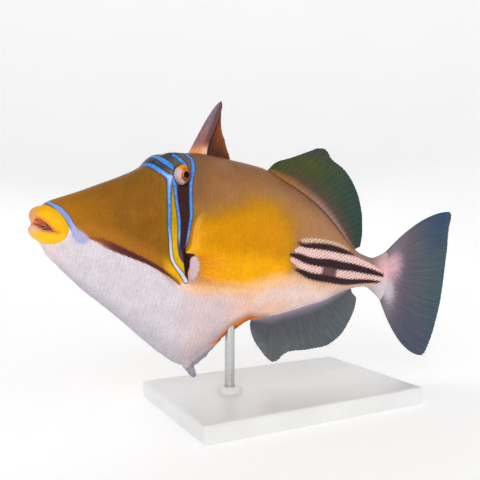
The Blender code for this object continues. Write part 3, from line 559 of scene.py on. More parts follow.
def area(s, h, outline):
    """Distance inside a closed outline in the side view, below zero outside it."""
    corners = np.array(outline, float)
    nearest = np.full(len(s), np.inf)
    inside = np.zeros(len(s), bool)
    for (x0, y0), (x1, y1) in zip(corners, np.roll(corners, -1, axis=0)):
        dx, dy = x1 - x0, y1 - y0
        t = np.clip(((s - x0) * dx + (h - y0) * dy) / (dx * dx + dy * dy), 0, 1)
        nearest = np.minimum(nearest, np.hypot(s - x0 - t * dx, h - y0 - t * dy))
        if dy:
            crosses = (y0 > h) != (y1 > h)
            inside ^= crosses & (s < dx * (h - y0) / dy + x0)
    return np.where(inside, nearest, -nearest)


def blob(s, h, centre, radii, power=2.0):
    """Soft spot in the side view: 1 at its centre and 0 far off."""
    return np.exp(-((((s - centre[0]) / radii[0]) ** 2 + ((h - centre[1]) / radii[1]) ** 2) ** (power / 2)))


def cloud(at, size, seed, octaves=2):
    """Smooth noise from -1 to 1 at each point."""
    made = np.zeros(len(at))
    for n, p in enumerate((at / size + seed * 7.31).tolist()):
        value = noise.noise(p)
        for octave in range(1, octaves):
            value += noise.noise((p[0] * 2**octave + 3.7, p[1] * 2**octave, p[2] * 2**octave)) / 2**octave
        made[n] = value
    return made


class Paint:
    """A material made of shader nodes. Values may be numbers, colours or the sockets of other nodes."""

    def __init__(self, name, roughness=0.5):
        self.material = bpy.data.materials.new(name)
        self.material.use_nodes = True
        self.tree = self.material.node_tree
        self.shader = self.tree.nodes["Principled BSDF"]
        self.shader.inputs["Roughness"].default_value = roughness
        self.colour = None

    def put(self, socket, value):
        if isinstance(value, bpy.types.NodeSocket):
            self.tree.links.new(value, socket)
        elif isinstance(value, (tuple, list)):
            socket.default_value = (*value, 1.0) if len(socket.default_value) == 4 else tuple(value)
        else:
            socket.default_value = value

    def set(self, name, value):
        self.put(self.shader.inputs[name], value)

    def field(self, name, vector=False):
        node = self.tree.nodes.new("ShaderNodeAttribute")
        node.attribute_name = name
        return node.outputs["Vector" if vector else "Fac"]

    def add(self, kind, *values):
        """A new node with values on its first sockets."""
        node = self.tree.nodes.new(kind)
        for socket, value in zip(node.inputs, values):
            self.put(socket, value)
        return node

    def math(self, operation, a, b=0.0, c=0.0):
        node = self.add("ShaderNodeMath", a, b, c)
        node.operation = operation
        return node.outputs[0]

    def times(self, a, b):
        return self.math("MULTIPLY", a, b)

    def less(self, a, b):
        return self.math("SUBTRACT", a, b)

    def line(self, value, slope, start):
        """The value times the slope, plus the start."""
        return self.math("MULTIPLY_ADD", value, slope, start)

    def step(self, value, low, high, bottom=0.0, top=1.0):
        """From the bottom to the top, smoothly, while the value runs from low to high."""
        node = self.add("ShaderNodeMapRange", value, low, high, bottom, top)
        node.interpolation_type = "SMOOTHSTEP"
        return node.outputs[0]

    def mix(self, share, a, b, blend="MIX"):
        node = self.tree.nodes.new("ShaderNodeMix")
        node.data_type = "RGBA"
        node.blend_type = blend
        self.put(node.inputs["Factor"], share)
        self.put(node.inputs[6], a)
        self.put(node.inputs[7], b)
        return node.outputs[2]

    def noise(self, at, scale, detail=3.0, roughness=0.55):
        node = self.add("ShaderNodeTexNoise", at)
        self.put(node.inputs["Scale"], scale)
        self.put(node.inputs["Detail"], detail)
        self.put(node.inputs["Roughness"], roughness)
        return node.outputs["Fac"]

    def stretch(self, at, scale, turn=(0.0, 0.0, 0.0)):
        node = self.add("ShaderNodeMapping", at)
        self.put(node.inputs["Scale"], scale)
        self.put(node.inputs["Rotation"], turn)
        return node.outputs[0]

    def split(self, vector):
        return self.add("ShaderNodeSeparateXYZ", vector).outputs

    def join(self, x, y, z=0.0):
        return self.add("ShaderNodeCombineXYZ", x, y, z).outputs[0]

    def random(self, at):
        return self.add("ShaderNodeTexWhiteNoise", at).outputs["Value"]

    def bump(self, height, strength, distance):
        node = self.tree.nodes.new("ShaderNodeBump")
        self.put(node.inputs["Height"], height)
        self.put(node.inputs["Strength"], strength)
        self.put(node.inputs["Distance"], distance)
        self.put(self.shader.inputs["Normal"], node.outputs[0])

    def spot(self, x, y, centre, radii):
        """Soft ellipse: 1 over its middle half and 0 from its edge on."""
        across = self.math("DIVIDE", self.less(x, centre[0]), radii[0])
        along_it = self.math("DIVIDE", self.less(y, centre[1]), radii[1])
        squares = self.line(across, across, self.times(along_it, along_it))
        return self.step(self.math("SQRT", squares), 1.0, 0.4)

    def over(self, below, colour, share, amount=1.0):
        if amount != 1.0:
            share = self.times(share, amount)
        return self.mix(share, below, colour)

    def coat(self, colour, share, amount=1.0):
        """Lays a colour over what is painted so far."""
        self.colour = self.over(self.colour, colour, share, amount)

    def shaded(self, tone):
        """What is painted so far, lighter or darker by a tone."""
        return self.mix(1.0, self.colour, self.join(tone, tone, tone), "MULTIPLY")

    def own_space(self):
        return self.tree.nodes.new("ShaderNodeTexCoord").outputs["Object"]


def flesh_solids():
    """The closed solids that the skin is drawn over."""
    places = np.concatenate([np.arange(BODY_START, BODY_END, BODY_STEP), [BODY_END]])
    rings = body_rings(places, BODY_POINTS)
    tail = [rings[-1].copy() for _ in range(3)]
    for ring, (shift, narrow) in zip(tail, ((0.8, 0.85), (2.0, 0.45), (2.6, 0.1))):
        ring[:, 0] += shift
        ring[:, 1] *= narrow
    body = lofted("flesh_body", np.concatenate([rings, np.array(tail)]))
    cut(body, hollows())
    return [body, flesh_jaw(True), flesh_jaw(False), mouth_floor(), flap(), knob()]


def flesh_jaw(above):
    tip = UPPER_RIM[0][0] if above else LOWER_RIM[0][0]
    steps = tip + np.concatenate([[0, 0.08], np.arange(0.2, 2.4, 0.2), np.arange(2.5, 15.2, 0.45)])
    return lofted(f"flesh_jaw{above}", jaw_rings(steps, above, JAW_POINTS))


def hollows():
    """Forms that cut the eye sockets, gill openings, nostrils and the hole of the rod."""
    made = []
    for side in (-1, 1):
        grown = [r + SOCKET_CLEAR for r in EYE_RADII]
        made.append(ellipsoid(f"socket{side}", eye_centre(side), grown))
        gill = on_side(*GILL_AT, side, GILL_OUT)
        made.append(ellipsoid(f"gill{side}", gill, GILL_RADII, 32, 20, GILL_LEAN))
        for s, h, radius in NOSTRILS:
            radii = (radius, NOSTRIL_DEPTH, radius * 1.3)
            made.append(ellipsoid(f"nostril{side}{s}", on_side(s, h, side, NOSTRIL_OUT), radii, 20, 12))
    return made + [rod_hole()]


def rod_hole():
    """The rod's hole under the belly, upright in the world, as a mesh in the fish frame."""
    low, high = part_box("stand_rod")
    x = (low.x + high.x) / 2 / MM - FISH_AT[0]
    turn = circle(48)
    radius = ROD_RADIUS + GAP
    rings = []
    for z in (ROD_HOLE_LOW, high.z / MM + GAP):
        ring_x = x + radius * np.cos(turn)
        ring_z = np.full(len(turn), z - FISH_AT[2])
        s = ring_x * math.cos(PITCH) - ring_z * math.sin(PITCH)
        h = ring_x * math.sin(PITCH) + ring_z * math.cos(PITCH)
        rings.append(np.stack([s, radius * np.sin(turn), h], axis=-1))
    return lofted("rod_hole", np.array(rings))


def mouth_floor():
    """Flesh that closes the mouth inside the lips."""
    places = np.linspace(MOUTH_FLOOR[0][0], MOUTH_FLOOR[-1][0], 24)[:, None]
    turn = circle(64)
    width, level = curve(MOUTH_FLOOR, places), curve(JAW_MEET, places)
    rings = np.broadcast_arrays(places, width * np.cos(turn), level + MOUTH_FLOOR_HALF * np.sin(turn))
    return lofted("flesh_mouth", np.stack(rings, axis=-1))


def flap():
    """Rough web behind the pelvis."""
    f = np.linspace(0, 1, 60)[:, None]
    t = np.linspace(-0.6, 1, 18)[None, :]
    s0 = np.interp(f, (0, 1), FLAP_ROOT)
    depth = curve(FLAP_DEPTH, f) * (0.84 + 0.16 * np.abs(np.sin(3.5 * np.pi * f)))
    s = s0 + depth * FLAP_LEAN * t
    h = curve(BELLY, s0) - depth * FLAP_LEAN * t - 0.2
    half = FLAP_HALF - 0.2 * np.maximum(t, 0) + 0.12 * np.cos(2 * np.pi * 6 * f) * (t > 0)
    return sheet_object("flesh_flap", s, np.zeros_like(s), h, half)


def knob():
    """Blunt rough end of the pelvis."""
    length = math.dist(KNOB_ROOT, KNOB_TIP)
    ahead = np.array([KNOB_TIP[0] - KNOB_ROOT[0], 0, KNOB_TIP[1] - KNOB_ROOT[1]]) / length
    across = np.array([-ahead[2], 0, ahead[0]])
    turn = circle(40)
    rings = []
    for share in np.linspace(0, 1, 22):
        size = curve(((0, 0.9), (0.4, 0.82), (0.75, 0.86), (0.92, 0.72), (1.0, 0.3)), share)
        radius = np.interp(share, (0, 1), KNOB_RADII) * size
        radius = radius * (1 + 0.07 * np.sin(9 * turn + 21 * share))
        middle = np.array([KNOB_ROOT[0], 0, KNOB_ROOT[1]]) + ahead * length * share
        ring = middle + across * (radius * np.cos(turn))[:, None]
        ring[:, 1] = radius * 0.85 * np.sin(turn)
        rings.append(ring)
    return lofted("flesh_knob", np.array(rings))


def sheet_object(name, s, l, h, half, **fields):
    """Closed thin sheet with two faces half its thickness off a grid of middle points."""
    s, l, h, half = np.broadcast_arrays(s, l, h, half)
    columns, rows = s.shape
    left = np.stack([s, l - half, h], axis=-1).reshape(-1, 3)
    right = np.stack([s, l + half, h], axis=-1).reshape(-1, 3)
    index = np.arange(columns * rows).reshape(columns, rows)
    around = [index[:-1, :-1], index[1:, :-1], index[1:, 1:], index[:-1, 1:]]
    quads = np.stack(around, axis=-1).reshape(-1, 4)
    shift = columns * rows
    rim = np.concatenate([index[:, 0], index[-1, 1:], index[-2::-1, -1], index[0, -2:0:-1]])
    after = np.roll(rim, -1)
    edge = np.stack([after, rim, rim + shift, after + shift], axis=-1)
    faces = quads.tolist() + (quads[:, ::-1] + shift).tolist() + edge.tolist()
    made = mesh_object(name, np.concatenate([left, right]), faces)
    face_outward(made.data)
    for key, values in fields.items():
        values = np.broadcast_to(values, (columns, rows)).ravel()
        write_attribute(made.data, key, np.concatenate([values, values]))
    made.data.shade_smooth()
    return made


def scale_cells(at, wander, fine):
    """Places in the lattice of scales: two numbers that grow by one from a row of scales to the next."""
    s, across, h = at.T
    middle = curve(WIDEST, s)
    rounding = 0.8 * (curve(HALF_WIDTH, s) - np.abs(across)) * np.sign(h - middle)
    extent = np.where(h > middle, curve(BACK, s), -curve(BELLY, s)) + np.where(h > middle, -middle, middle)
    rising = (h - middle + rounding) * (48 / np.maximum(extent, 10)) ** np.where(s < 66, 0.5, 0.0)
    rising = rising / (SCALE_HEIGHT + 0.5 * smoothstep(124, 136, s))
    rising = rising + 0.35 * cloud(at, 20.0, 3) + 0.10 * cloud(at, 2.6, 4)
    length = np.interp(np.arange(0, 201), (0, 30, 60, 125, 140, 200), (1.3, 1.6, 2.0, 2.1, 2.6, 2.6))
    counted = np.interp(s, np.arange(0, 201), np.concatenate([[0], np.cumsum(1 / length)[:-1]]))
    counted = counted + 0.45 * wander + 0.12 * fine
    return counted + rising, counted - rising


def skin_mesh():
    """One closed and even skin over all the flesh."""
    made = joined("skin", flesh_solids())
    remesh = made.modifiers.new("remesh", "REMESH")
    remesh.mode = "VOXEL"
    remesh.voxel_size = SKIN_VOXEL * MM
    remesh.use_smooth_shade = True
    smooth = made.modifiers.new("smooth", "SMOOTH")
    smooth.factor = 0.5
    smooth.iterations = 5
    bpy.context.view_layer.update()
    apply_modifiers(made)
    return made


def markings(at):
    """Distance of each point inside each marking, below zero outside it, and a few soft shares."""
    s, l, h = at.T
    flat = np.stack([s, np.abs(l), h], axis=1)
    outer = np.abs(l) > OUTER_SIDE
    side = np.stack([s, np.where(outer, 0, 99), h], axis=1)

    def band(*lines):
        return np.max([ribbon(flat, on_flank(line)) for line in lines], axis=0)

    # The gill openings join the dark band, so their insides get painted shade in the band's colour.
    slots = [ribbon(side, [(a, 0, b, w) for a, b, w in line]) for line in (GILL_SLOT, GILL_TOP)]
    gape = np.minimum(curve(UPPER_RIM, s) - h, h - curve(LOWER_RIM, s))
    back, belly, middle = curve(BACK, s), curve(BELLY, s), curve(WIDEST, s)
    return {
        "blue": np.max([band(*BLUE_LINES)] + [ribbon(flat, line) for line in BROW_BANDS], axis=0),
        "lip_band": ribbon(flat, LIP_BAND),
        "maroon": band(MAROON_LINE),
        "dark": np.max([band(DARK_BAND)] + slots, axis=0),
        "wedge": band(YELLOW_WEDGE),
        "cheek_rim": band(CHEEK_RIM),
        "stripe": band(*STRIPES),
        "pink_band": band(*PINK_BANDS),
        "cream": band(CREAM_ROW),
        "vent": band(VENT_LINE),
        "lips": area(s, h, LIPS_AREA),
        "gape": np.where(s < MOUTH_CORNER, gape, -3),
        "brow": area(s, h, BROW_AREA),
        "cheek": area(s, h, CHEEK_AREA),
        "belly": area(s, h, BELLY_AREA),
        "lobe": blob(s, h, LOBE_AT, LOBE_RADII, 4) * outer,
        "fold": s - curve(sorted((b, a) for a, b in SHOULDER_FOLD), h),
        "top_share": np.clip((h - middle) / np.maximum(back - middle, 5), 0, 1.2),
        "low_share": np.clip((middle - h) / np.maximum(middle - belly, 5), 0, 1.2),
    }


def skin_relief(at, marks, one, two, wander):
    """Height of scales, lips, fold and lobe over the plain skin, less the slots, and where it is scaly."""
    lips, lobe, dark, behind = (marks[name] for name in ("lips", "lobe", "dark", "fold"))
    edge = np.minimum(np.abs(one - np.round(one)), np.abs(two - np.round(two)))
    _, l, h = at.T
    fold = smoothstep(-0.6, 0.5, behind) * np.exp(-np.maximum(behind, 0) / 5.5)
    fold = fold * smoothstep(-6.5, -1.5, h) * (1 - smoothstep(12, 20, h)) * (np.abs(l) > OUTER_SIDE)
    bare = smoothstep(-0.8, 0.6, lips)
    scaly = 1 - np.maximum(np.maximum(bare, smoothstep(0.3, 0.8, lobe)), smoothstep(-0.5, 0.8, dark))
    relief = SCALE_RELIEF * scaly * smoothstep(0.0, 0.35, edge)
    swell = LIP_SWELL * smoothstep(-0.2, 2.4, lips) * smoothstep(0.0, -1.2, marks["gape"])
    relief = relief + swell - 0.15 * np.exp(-(lips / 0.8) ** 2)
    relief = relief + FOLD_RELIEF * fold + LOBE_RELIEF * lobe - SLOT_DEPTH * smoothstep(-0.4, 1.2, dark)
    relief = relief - 0.10 * smoothstep(-0.3, 0.8, marks["maroon"]) + 0.05 * wander
    return relief - 0.06 * smoothstep(-0.3, 0.6, marks["stripe"]), scaly


def gold_share(at, wander, fine):
    """How gold the flank is, from 0 to 1, with a soft and uneven edge."""
    s, _, h = at.T
    soft = 7.5 + 6.0 * smoothstep(6, 18, h) - 1.0 * smoothstep(-4, -12, h) + 4.0 * smoothstep(104, 118, s)
    uneven = area(s, h, GOLD_AREA) / soft + 0.10 * wander + 0.05 * fine
    return smoothstep(-1.0, 1.0, uneven) * smoothstep(63.0, 66.5, s)


def skin():
    """Skin over the whole fish, with the fields that its paint reads."""
    made = skin_mesh()
    mesh = made.data
    at = vertex_values(mesh) / MM
    normals = vertex_values(mesh, "normal")
    wander, fine = cloud(at, 16.0, 1), cloud(at, 3.2, 2)
    one, two = scale_cells(at, wander, fine)
    marks = markings(at)
    relief, scaly = skin_relief(at, marks, one, two, wander)
    move_vertices(mesh, (at + normals * relief[:, None]) * MM)
    marks["fish"] = at
    marks["cells"] = np.stack([one, two, scaly], axis=1)
    marks["gold"] = gold_share(at, wander, fine)
    for name, values in marks.items():
        write_attribute(mesh, name, values)
    mesh.shade_smooth()
    nodes = ("jaw_upper", "jaw_lower", "head", "torso", "peduncle", "ventral_flap", "pelvic_spine")
    return placed(made, skin_paint(), "skin", *nodes)


class SkinPaint(Paint):
    """Paint over the skin, with the fields that its sections share."""

    def __init__(self):
        super().__init__("painted_skin")
        self.at = self.field("fish", True)
        self.s, self.l, self.h = self.split(self.at)
        one, two, self.scaly = self.split(self.field("cells", True))
        self.mottle = self.noise(self.at, 0.16, 4)
        self.grain = self.noise(self.at, 1.6, 3)
        self.speck = self.noise(self.at, 5.0, 2)
        self.jag = self.less(self.grain, 0.5)
        self.edge = self.math("MINIMUM", self.math("PINGPONG", one, 0.5), self.math("PINGPONG", two, 0.5))
        self.groove = self.times(self.step(self.edge, 0.02, 0.14, 1, 0), self.scaly)
        self.tile = self.random(self.join(self.math("FLOOR", one), self.math("FLOOR", two)))
        self.lean = self.math("FRACT", self.times(self.math("ADD", one, two), 0.5))
        self.belly = self.line(self.jag, 1.2, self.field("belly"))

    def distance(self, name, jagged=0.0, toothed=0.0):
        """Distance inside a marking, with a jagged edge and teeth where the scales end."""
        value = self.field(name)
        if jagged:
            value = self.line(self.jag, jagged, value)
        if toothed:
            value = self.line(self.times(self.less(self.edge, 0.25), self.scaly), toothed, value)
        return value


def paint_flank(p):
    """Back and flank, from the brown top to the gold middle."""
    at, s, h, jag = p.at, p.s, p.h, p.jag
    p.colour = p.mix(p.step(s, 66, 140), (0.325, 0.145, 0.046), (0.435, 0.205, 0.078))
    p.coat((0.20, 0.086, 0.034), p.step(p.field("top_share"), 0.54, 1.02), 0.65)
    p.coat((0.36, 0.18, 0.11), p.step(p.noise(at, 0.055, 2), 0.48, 0.66), 0.4)
    p.coat((0.21, 0.098, 0.045), p.times(p.step(s, 76, 66), p.step(h, 14, 26)), 0.7)
    gold = p.line(jag, 0.06, p.field("gold"))
    p.coat((0.46, 0.205, 0.002), p.step(gold, 0.0, 0.66))
    p.coat((0.665, 0.266, 0.0), p.step(gold, 0.22, 0.97))
    deep = p.times(p.step(gold, 0.2, 0.8), p.step(h, 7, -10))
    p.coat((0.94, 0.41, 0.0), p.step(deep, 0.05, 0.9), 0.95)
    shoulder = p.times(p.step(s, 80, 68), p.step(h, 12, 4))
    p.coat((0.84, 0.36, 0.005), p.times(shoulder, gold), 0.8)


def paint_fold(p):
    """Fold of skin behind the gill opening, with a painted highlight behind its edge and painted shade
    ahead of it.
    """
    h = p.h
    fold = p.field("fold")
    # Painted highlight on the bulge just behind the fold's edge.
    fold_highlight_zone = p.times(p.step(fold, 5.0, 0.8), p.times(p.step(h, -4.5, -1), p.step(h, 17, 11)))
    p.coat((0.92, 0.45, 0.06), p.times(fold_highlight_zone, p.step(fold, 0.2, 0.9)), 0.5)
    # Painted shade in a strip just ahead of the fold.
    ahead = p.times(p.step(fold, 0.4, -0.4), p.times(p.step(fold, -6, -3), p.step(h, 17, 13)))
    p.coat((0.36, 0.155, 0.010), p.times(ahead, p.step(h, -5, -3)), 0.85)


def paint_belly(p):
    """Pale belly, warm along its upper edge and towards the tail, with painted shade along its lower edge
    at the front and before the tail.
    """
    at, s, belly = p.at, p.s, p.belly
    warm = p.mix(p.step(s, 62, 84), (0.70, 0.64, 0.69), (0.78, 0.60, 0.60))
    warm = p.mix(p.step(s, 90, 108), warm, (0.96, 0.61, 0.46))
    warm = p.mix(p.step(s, 124, 142), warm, (0.93, 0.70, 0.64))
    # Painted shade: the belly greyer and darker on the narrow body before the tail.
    warm = p.mix(p.step(s, 150, 172), warm, (0.47, 0.37, 0.39))
    edge_tone = p.mix(p.step(s, 118, 134), (1.0, 0.56, 0.23), (0.80, 0.49, 0.31))
    edge_tone = p.mix(p.step(s, 66, 76), (0.92, 0.62, 0.48), edge_tone)
    p.coat(edge_tone, p.step(belly, -7.0, 0.0), p.step(s, 60, 66))
    p.coat(warm, p.step(belly, p.step(s, 50, 72, -0.25, -3.0), p.step(s, 50, 72, 0.25, 6.0)))
    pale = p.step(p.noise(at, 0.05, 2), 0.42, 0.66)
    p.coat((0.80, 0.76, 0.81), p.times(p.step(belly, 0.5, 6.0), pale), 0.35)
    # Painted shade along the lower edge of the front half of the belly.
    low = p.step(p.field("low_share"), 0.74, 1.06)
    p.coat((0.38, 0.36, 0.43), p.times(low, p.step(s, 122, 100)), 0.7)
    chin = p.times(p.step(s, 17, 9), p.step(belly, -0.4, 1.0))
    p.coat((0.80, 0.64, 0.66), chin, 0.8)


def paint_cheek(p):
    """Ochre cheek, darker up and back, with a gold lower rim."""
    s, h, mottle = p.s, p.h, p.mottle
    cheek = p.mix(p.step(s, 8, 40), (0.43, 0.165, 0.003), (0.165, 0.068, 0.005))
    top = p.times(p.step(p.field("top_share"), 0.25, 1.0), p.step(s, 12, 30, 0.3, 1.0))
    cheek = p.over(cheek, (0.165, 0.075, 0.011), top, 0.75)
    cheek = p.over(cheek, (0.47, 0.175, 0.016), p.step(p.field("maroon"), -11, -1.5), 0.75)
    cheek = p.over(cheek, (0.31, 0.128, 0.014), p.step(mottle, 0.48, 0.7), 0.4)
    cheek = p.over(cheek, (0.27, 0.130, 0.004), p.step(p.field("cheek_rim"), -2.0, 1.2), 0.85)
    low_rim = p.times(p.step(p.field("cheek_rim"), -2.0, 1.0), p.step(h, -5, -13))
    cheek = p.over(cheek, (0.85, 0.42, 0.003), low_rim, 0.9)
    p.coat(cheek, p.step(p.distance("cheek", 0.5), -0.15, 0.15))


def paint_tail_bands(p):
    """Pale bands edged by scales, black stripes and cream dots before the tail."""
    s, l, h, jag, edge, lean = p.s, p.l, p.h, p.jag, p.edge, p.lean
    rear_top = p.times(p.step(s, 164, 178), p.step(h, 1, 6))
    p.coat((0.26, 0.18, 0.175), rear_top, 0.75)
    rear = p.mix(p.step(h, -1, -6), (0.80, 0.46, 0.50), (0.68, 0.59, 0.64))
    rear = p.mix(p.step(h, 5, 9), rear, (0.62, 0.39, 0.41))
    p.coat(rear, p.step(p.line(jag, 6.0, s), 183, 194), 0.95)
    pink = p.mix(p.step(edge, 0.06, 0.22), (0.92, 0.69, 0.63), (0.66, 0.34, 0.32))
    pink = p.over(pink, (0.88, 0.62, 0.56), p.step(lean, 0.45, 0.95), 0.6)
    p.coat(pink, p.step(p.distance("pink_band", 0.3, 1.6), -0.8, -0.4))
    dots = p.times(p.step(p.distance("cream", 0.2, 2.6), -0.6, -0.2), p.step(edge, 0.10, 0.24))
    p.coat((0.92, 0.78, 0.66), dots, 0.95)
    patch = p.times(p.step(s, 145.5, 148), p.step(s, 158.5, 156))
    patch = p.times(patch, p.times(p.step(h, -8, -6), p.step(h, 2, 0)))
    patch = p.times(patch, p.step(p.math("ABSOLUTE", l), 3.0, 4.0))
    p.coat((0.13, 0.065, 0.07), patch, 0.95)
    stripe = p.math("MAXIMUM", p.distance("stripe", 0.3, 3.6), p.less(p.field("stripe"), 0.5))
    p.coat((0.13, 0.045, 0.045), p.step(stripe, -0.95, -0.45), 0.75)
    p.coat((0.031, 0.013, 0.018), p.step(stripe, -0.50, -0.05))


def paint_head(p):
    """Brow, dark band, painted shade in the gill openings, gold wedge and blue lines with thin dark edges.
    """
    s, h, mottle, grain, speck = p.s, p.h, p.mottle, p.grain, p.speck
    brow = p.mix(p.step(mottle, 0.35, 0.65), (0.030, 0.036, 0.048), (0.075, 0.072, 0.078))
    brow = p.over(brow, (0.20, 0.14, 0.09), p.step(p.line(h, -0.6, s), 29, 36), 0.7)
    p.coat(brow, p.step(p.distance("brow", 0.4), -0.2, 0.2))
    strip = p.times(p.step(s, 52.5, 54.5), p.step(h, 33.2, 30.0))
    p.coat((0.42, 0.24, 0.05), p.times(strip, p.step(p.field("brow"), 0, 0.5)), 0.8)
    gold = p.mix(p.step(h, 10, -2), (0.50, 0.29, 0.002), (0.73, 0.43, 0.002))
    p.coat(gold, p.step(p.distance("wedge", 0.2), -0.2, 0.15))
    # The dark band's colour, also painted as shade inside the gill openings.
    dusk = p.mix(p.step(speck, 0.4, 0.7), (0.024, 0.008, 0.007), (0.070, 0.030, 0.026))
    p.coat(dusk, p.step(p.distance("dark", 0.2), -0.15, 0.15))
    line = p.distance("blue", 0.18)
    p.coat((0.025, 0.020, 0.055), p.step(line, -0.65, -0.15), 0.85)
    sky = p.mix(p.step(grain, 0.34, 0.66), (0.018, 0.17, 0.62), (0.12, 0.37, 0.86))
    sky = p.mix(p.times(p.step(p.field("blue"), 0.3, 1.1), p.step(h, 32, 29)), sky, (0.46, 0.62, 0.92))
    sky = p.mix(p.step(h, 9, -7), sky, (0.62, 0.66, 0.74))
    behind_wedge = p.step(p.line(h, 0.45, s), 59.2, 59.8)
    ends = p.times(behind_wedge, p.times(p.step(h, 5, -2), p.step(h, -9.6, -8.9)))
    sky = p.mix(ends, sky, (0.035, 0.06, 0.20))
    p.coat(sky, p.step(line, -0.12, 0.16))


def paint_maroon(p):
    """Maroon line under the cheek: crisp and toothed below, soft above."""
    s, belly = p.s, p.belly
    maroon = p.distance("maroon", 0.4, 1.8)
    p.coat((0.86, 0.66, 0.70), p.step(maroon, -0.8, -0.2), p.step(belly, -0.2, 0.6))
    wine = p.mix(p.step(s, 25, 40), (0.19, 0.050, 0.032), (0.080, 0.015, 0.022))
    p.coat(wine, p.times(p.step(maroon, -0.45, 0.25), p.step(s, 22, 34, 0.35, 1.0)), 0.95)


def paint_mouth(p):
    """Lips, the lavender band behind them and the inside of the mouth, darkened with painted shade deeper
    in.
    """
    at, s, h, mottle, speck, jag = p.at, p.s, p.h, p.mottle, p.speck, p.jag
    lavender = p.mix(p.step(s, 13, 18), (0.24, 0.35, 0.74), (0.47, 0.46, 0.72))
    p.coat((0.10, 0.05, 0.08), p.step(p.distance("lip_band", 0.1), -0.5, -0.1), p.step(h, -2.4, 0.5))
    band = p.step(p.distance("lip_band", 0.2), p.step(s, 15, 18, -0.15, -1.0), p.step(s, 15, 18, 0.15, 0.8))
    p.coat(lavender, band)
    lips = p.field("lips")
    gape = p.field("gape")
    yellow = p.mix(p.step(h, -1.0, -5.0), (0.88, 0.43, 0.001), (0.92, 0.52, 0.012))
    yellow = p.over(yellow, (0.97, 0.55, 0.010), p.step(mottle, 0.4, 0.7), 0.4)
    yellow = p.over(yellow, (0.74, 0.33, 0.0), p.step(lips, 0.9, 0.0), 0.5)
    soft = p.line(jag, 1.2, s)
    upper = p.times(p.step(p.line(gape, -0.3, soft), 3.2, 0.6), p.step(h, -0.9, -0.7))
    lower = p.times(p.step(p.line(gape, -1.3, soft), 7.0, 2.0), p.step(h, -0.7, -0.9))
    yellow = p.over(yellow, (0.78, 0.31, 0.15), upper, 0.9)
    yellow = p.over(yellow, (0.84, 0.47, 0.36), lower, 0.9)
    rim = p.times(p.step(gape, -0.9, -0.15), p.step(s, 10.4, 8.0))
    yellow = p.over(yellow, (0.86, 0.36, 0.16), rim, 0.8)
    p.coat(yellow, p.step(p.line(jag, 0.2, lips), -0.12, 0.12))
    # Painted shade: the inside of the mouth darkens further back and higher up, under the upper lip.
    depth = p.line(s, 0.4, p.line(h, -0.5, p.times(speck, 2.0)))
    inner = p.mix(p.step(depth, 1.6, 3.6), (0.50, 0.13, 0.045), (0.10, 0.018, 0.035))
    streaks = p.noise(p.stretch(at, (0.5, 1.2, 1.9)), 1.0, 3)
    inner = p.over(inner, (0.66, 0.26, 0.15), p.step(streaks, 0.5, 0.64), 0.7)
    inner = p.over(inner, (0.20, 0.02, 0.012), p.step(streaks, 0.44, 0.36), 0.8)
    p.coat(inner, p.step(gape, -0.12, 0.18))


def paint_rims(p):
    """Base of the pectoral fin, rim of the vent and rough edge of the pelvis."""
    s, h, grain, jag = p.s, p.h, p.grain, p.jag
    lobe = p.field("lobe")
    rose = p.mix(p.step(lobe, 0.4, 0.95), (0.66, 0.32, 0.26), (0.64, 0.48, 0.54))
    p.coat(rose, p.step(lobe, 0.3, 0.6), 0.95)
    vent = p.line(jag, 0.8, p.field("vent"))
    p.coat((0.60, 0.38, 0.34), p.step(vent, -3.4, -0.8), 0.75)
    p.coat((0.86, 0.26, 0.03), p.step(vent, -1.2, 0.6), 0.9)
    edge_share = p.step(p.field("low_share"), 0.88, 0.99)
    p.coat((0.36, 0.06, 0.01), p.times(p.step(vent, 0.2, 1.2), edge_share), 0.8)
    spiny = p.times(p.step(s, 78, 82), p.step(p.line(s, -0.86, h), -126.2, -128.0))
    spiny = p.times(spiny, p.step(s, 99, 95))
    p.coat(p.mix(p.step(grain, 0.4, 0.65), (0.20, 0.19, 0.24), (0.42, 0.39, 0.46)), spiny, 0.85)


def paint_scales(p):
    """Thin dark seams, and each scale a little lighter or darker than the next."""
    scaly, groove, lean = p.scaly, p.groove, p.lean
    seam = p.mix(1.0, p.colour, (0.62, 0.54, 0.56), "MULTIPLY")
    shown = p.step(p.field("belly"), -2.0, 3.0, 0.14, p.step(p.s, 95, 125, 0.55, 0.30))
    p.coat(seam, p.times(groove, shown))
    ripple = p.noise(p.stretch(p.at, (1.5, 0.4, 0.45)), 1.0, 3)
    tone = p.times(p.step(p.tile, 0.0, 1.0, 0.965, 1.03), p.step(ripple, 0.32, 0.68, 0.95, 1.05))
    tone = p.times(tone, p.step(p.math("PINGPONG", lean, 0.5), 0.0, 0.5, 0.97, 1.03))
    tone = p.times(tone, p.step(p.mottle, 0.3, 0.7, 0.95, 1.05))
    p.coat(p.shaded(tone), scaly)
    p.set("Base Color", p.colour)
    p.set("Roughness", p.line(groove, 0.10, p.step(p.grain, 0.3, 0.7, 0.36, 0.50)))
    p.set("Specular IOR Level", 0.22)
    p.set("Specular Tint", p.mix(0.75, (1.0, 1.0, 1.0), p.colour))
    p.set("Coat Weight", p.times(p.step(p.field("lips"), -0.2, 0.3), 0.10))
    p.set("Coat Roughness", 0.2)
    height = p.less(p.times(p.speck, 0.35), groove)
    height = p.line(p.times(lean, scaly), 0.5, height)
    p.bump(height, 0.25, 0.00012)


def skin_paint():
    p = SkinPaint()
    for lay in (
        paint_flank, paint_fold, paint_belly, paint_cheek, paint_tail_bands, paint_head,
        paint_maroon, paint_mouth, paint_rims, paint_scales,
    ):
        lay(p)
    return p.material


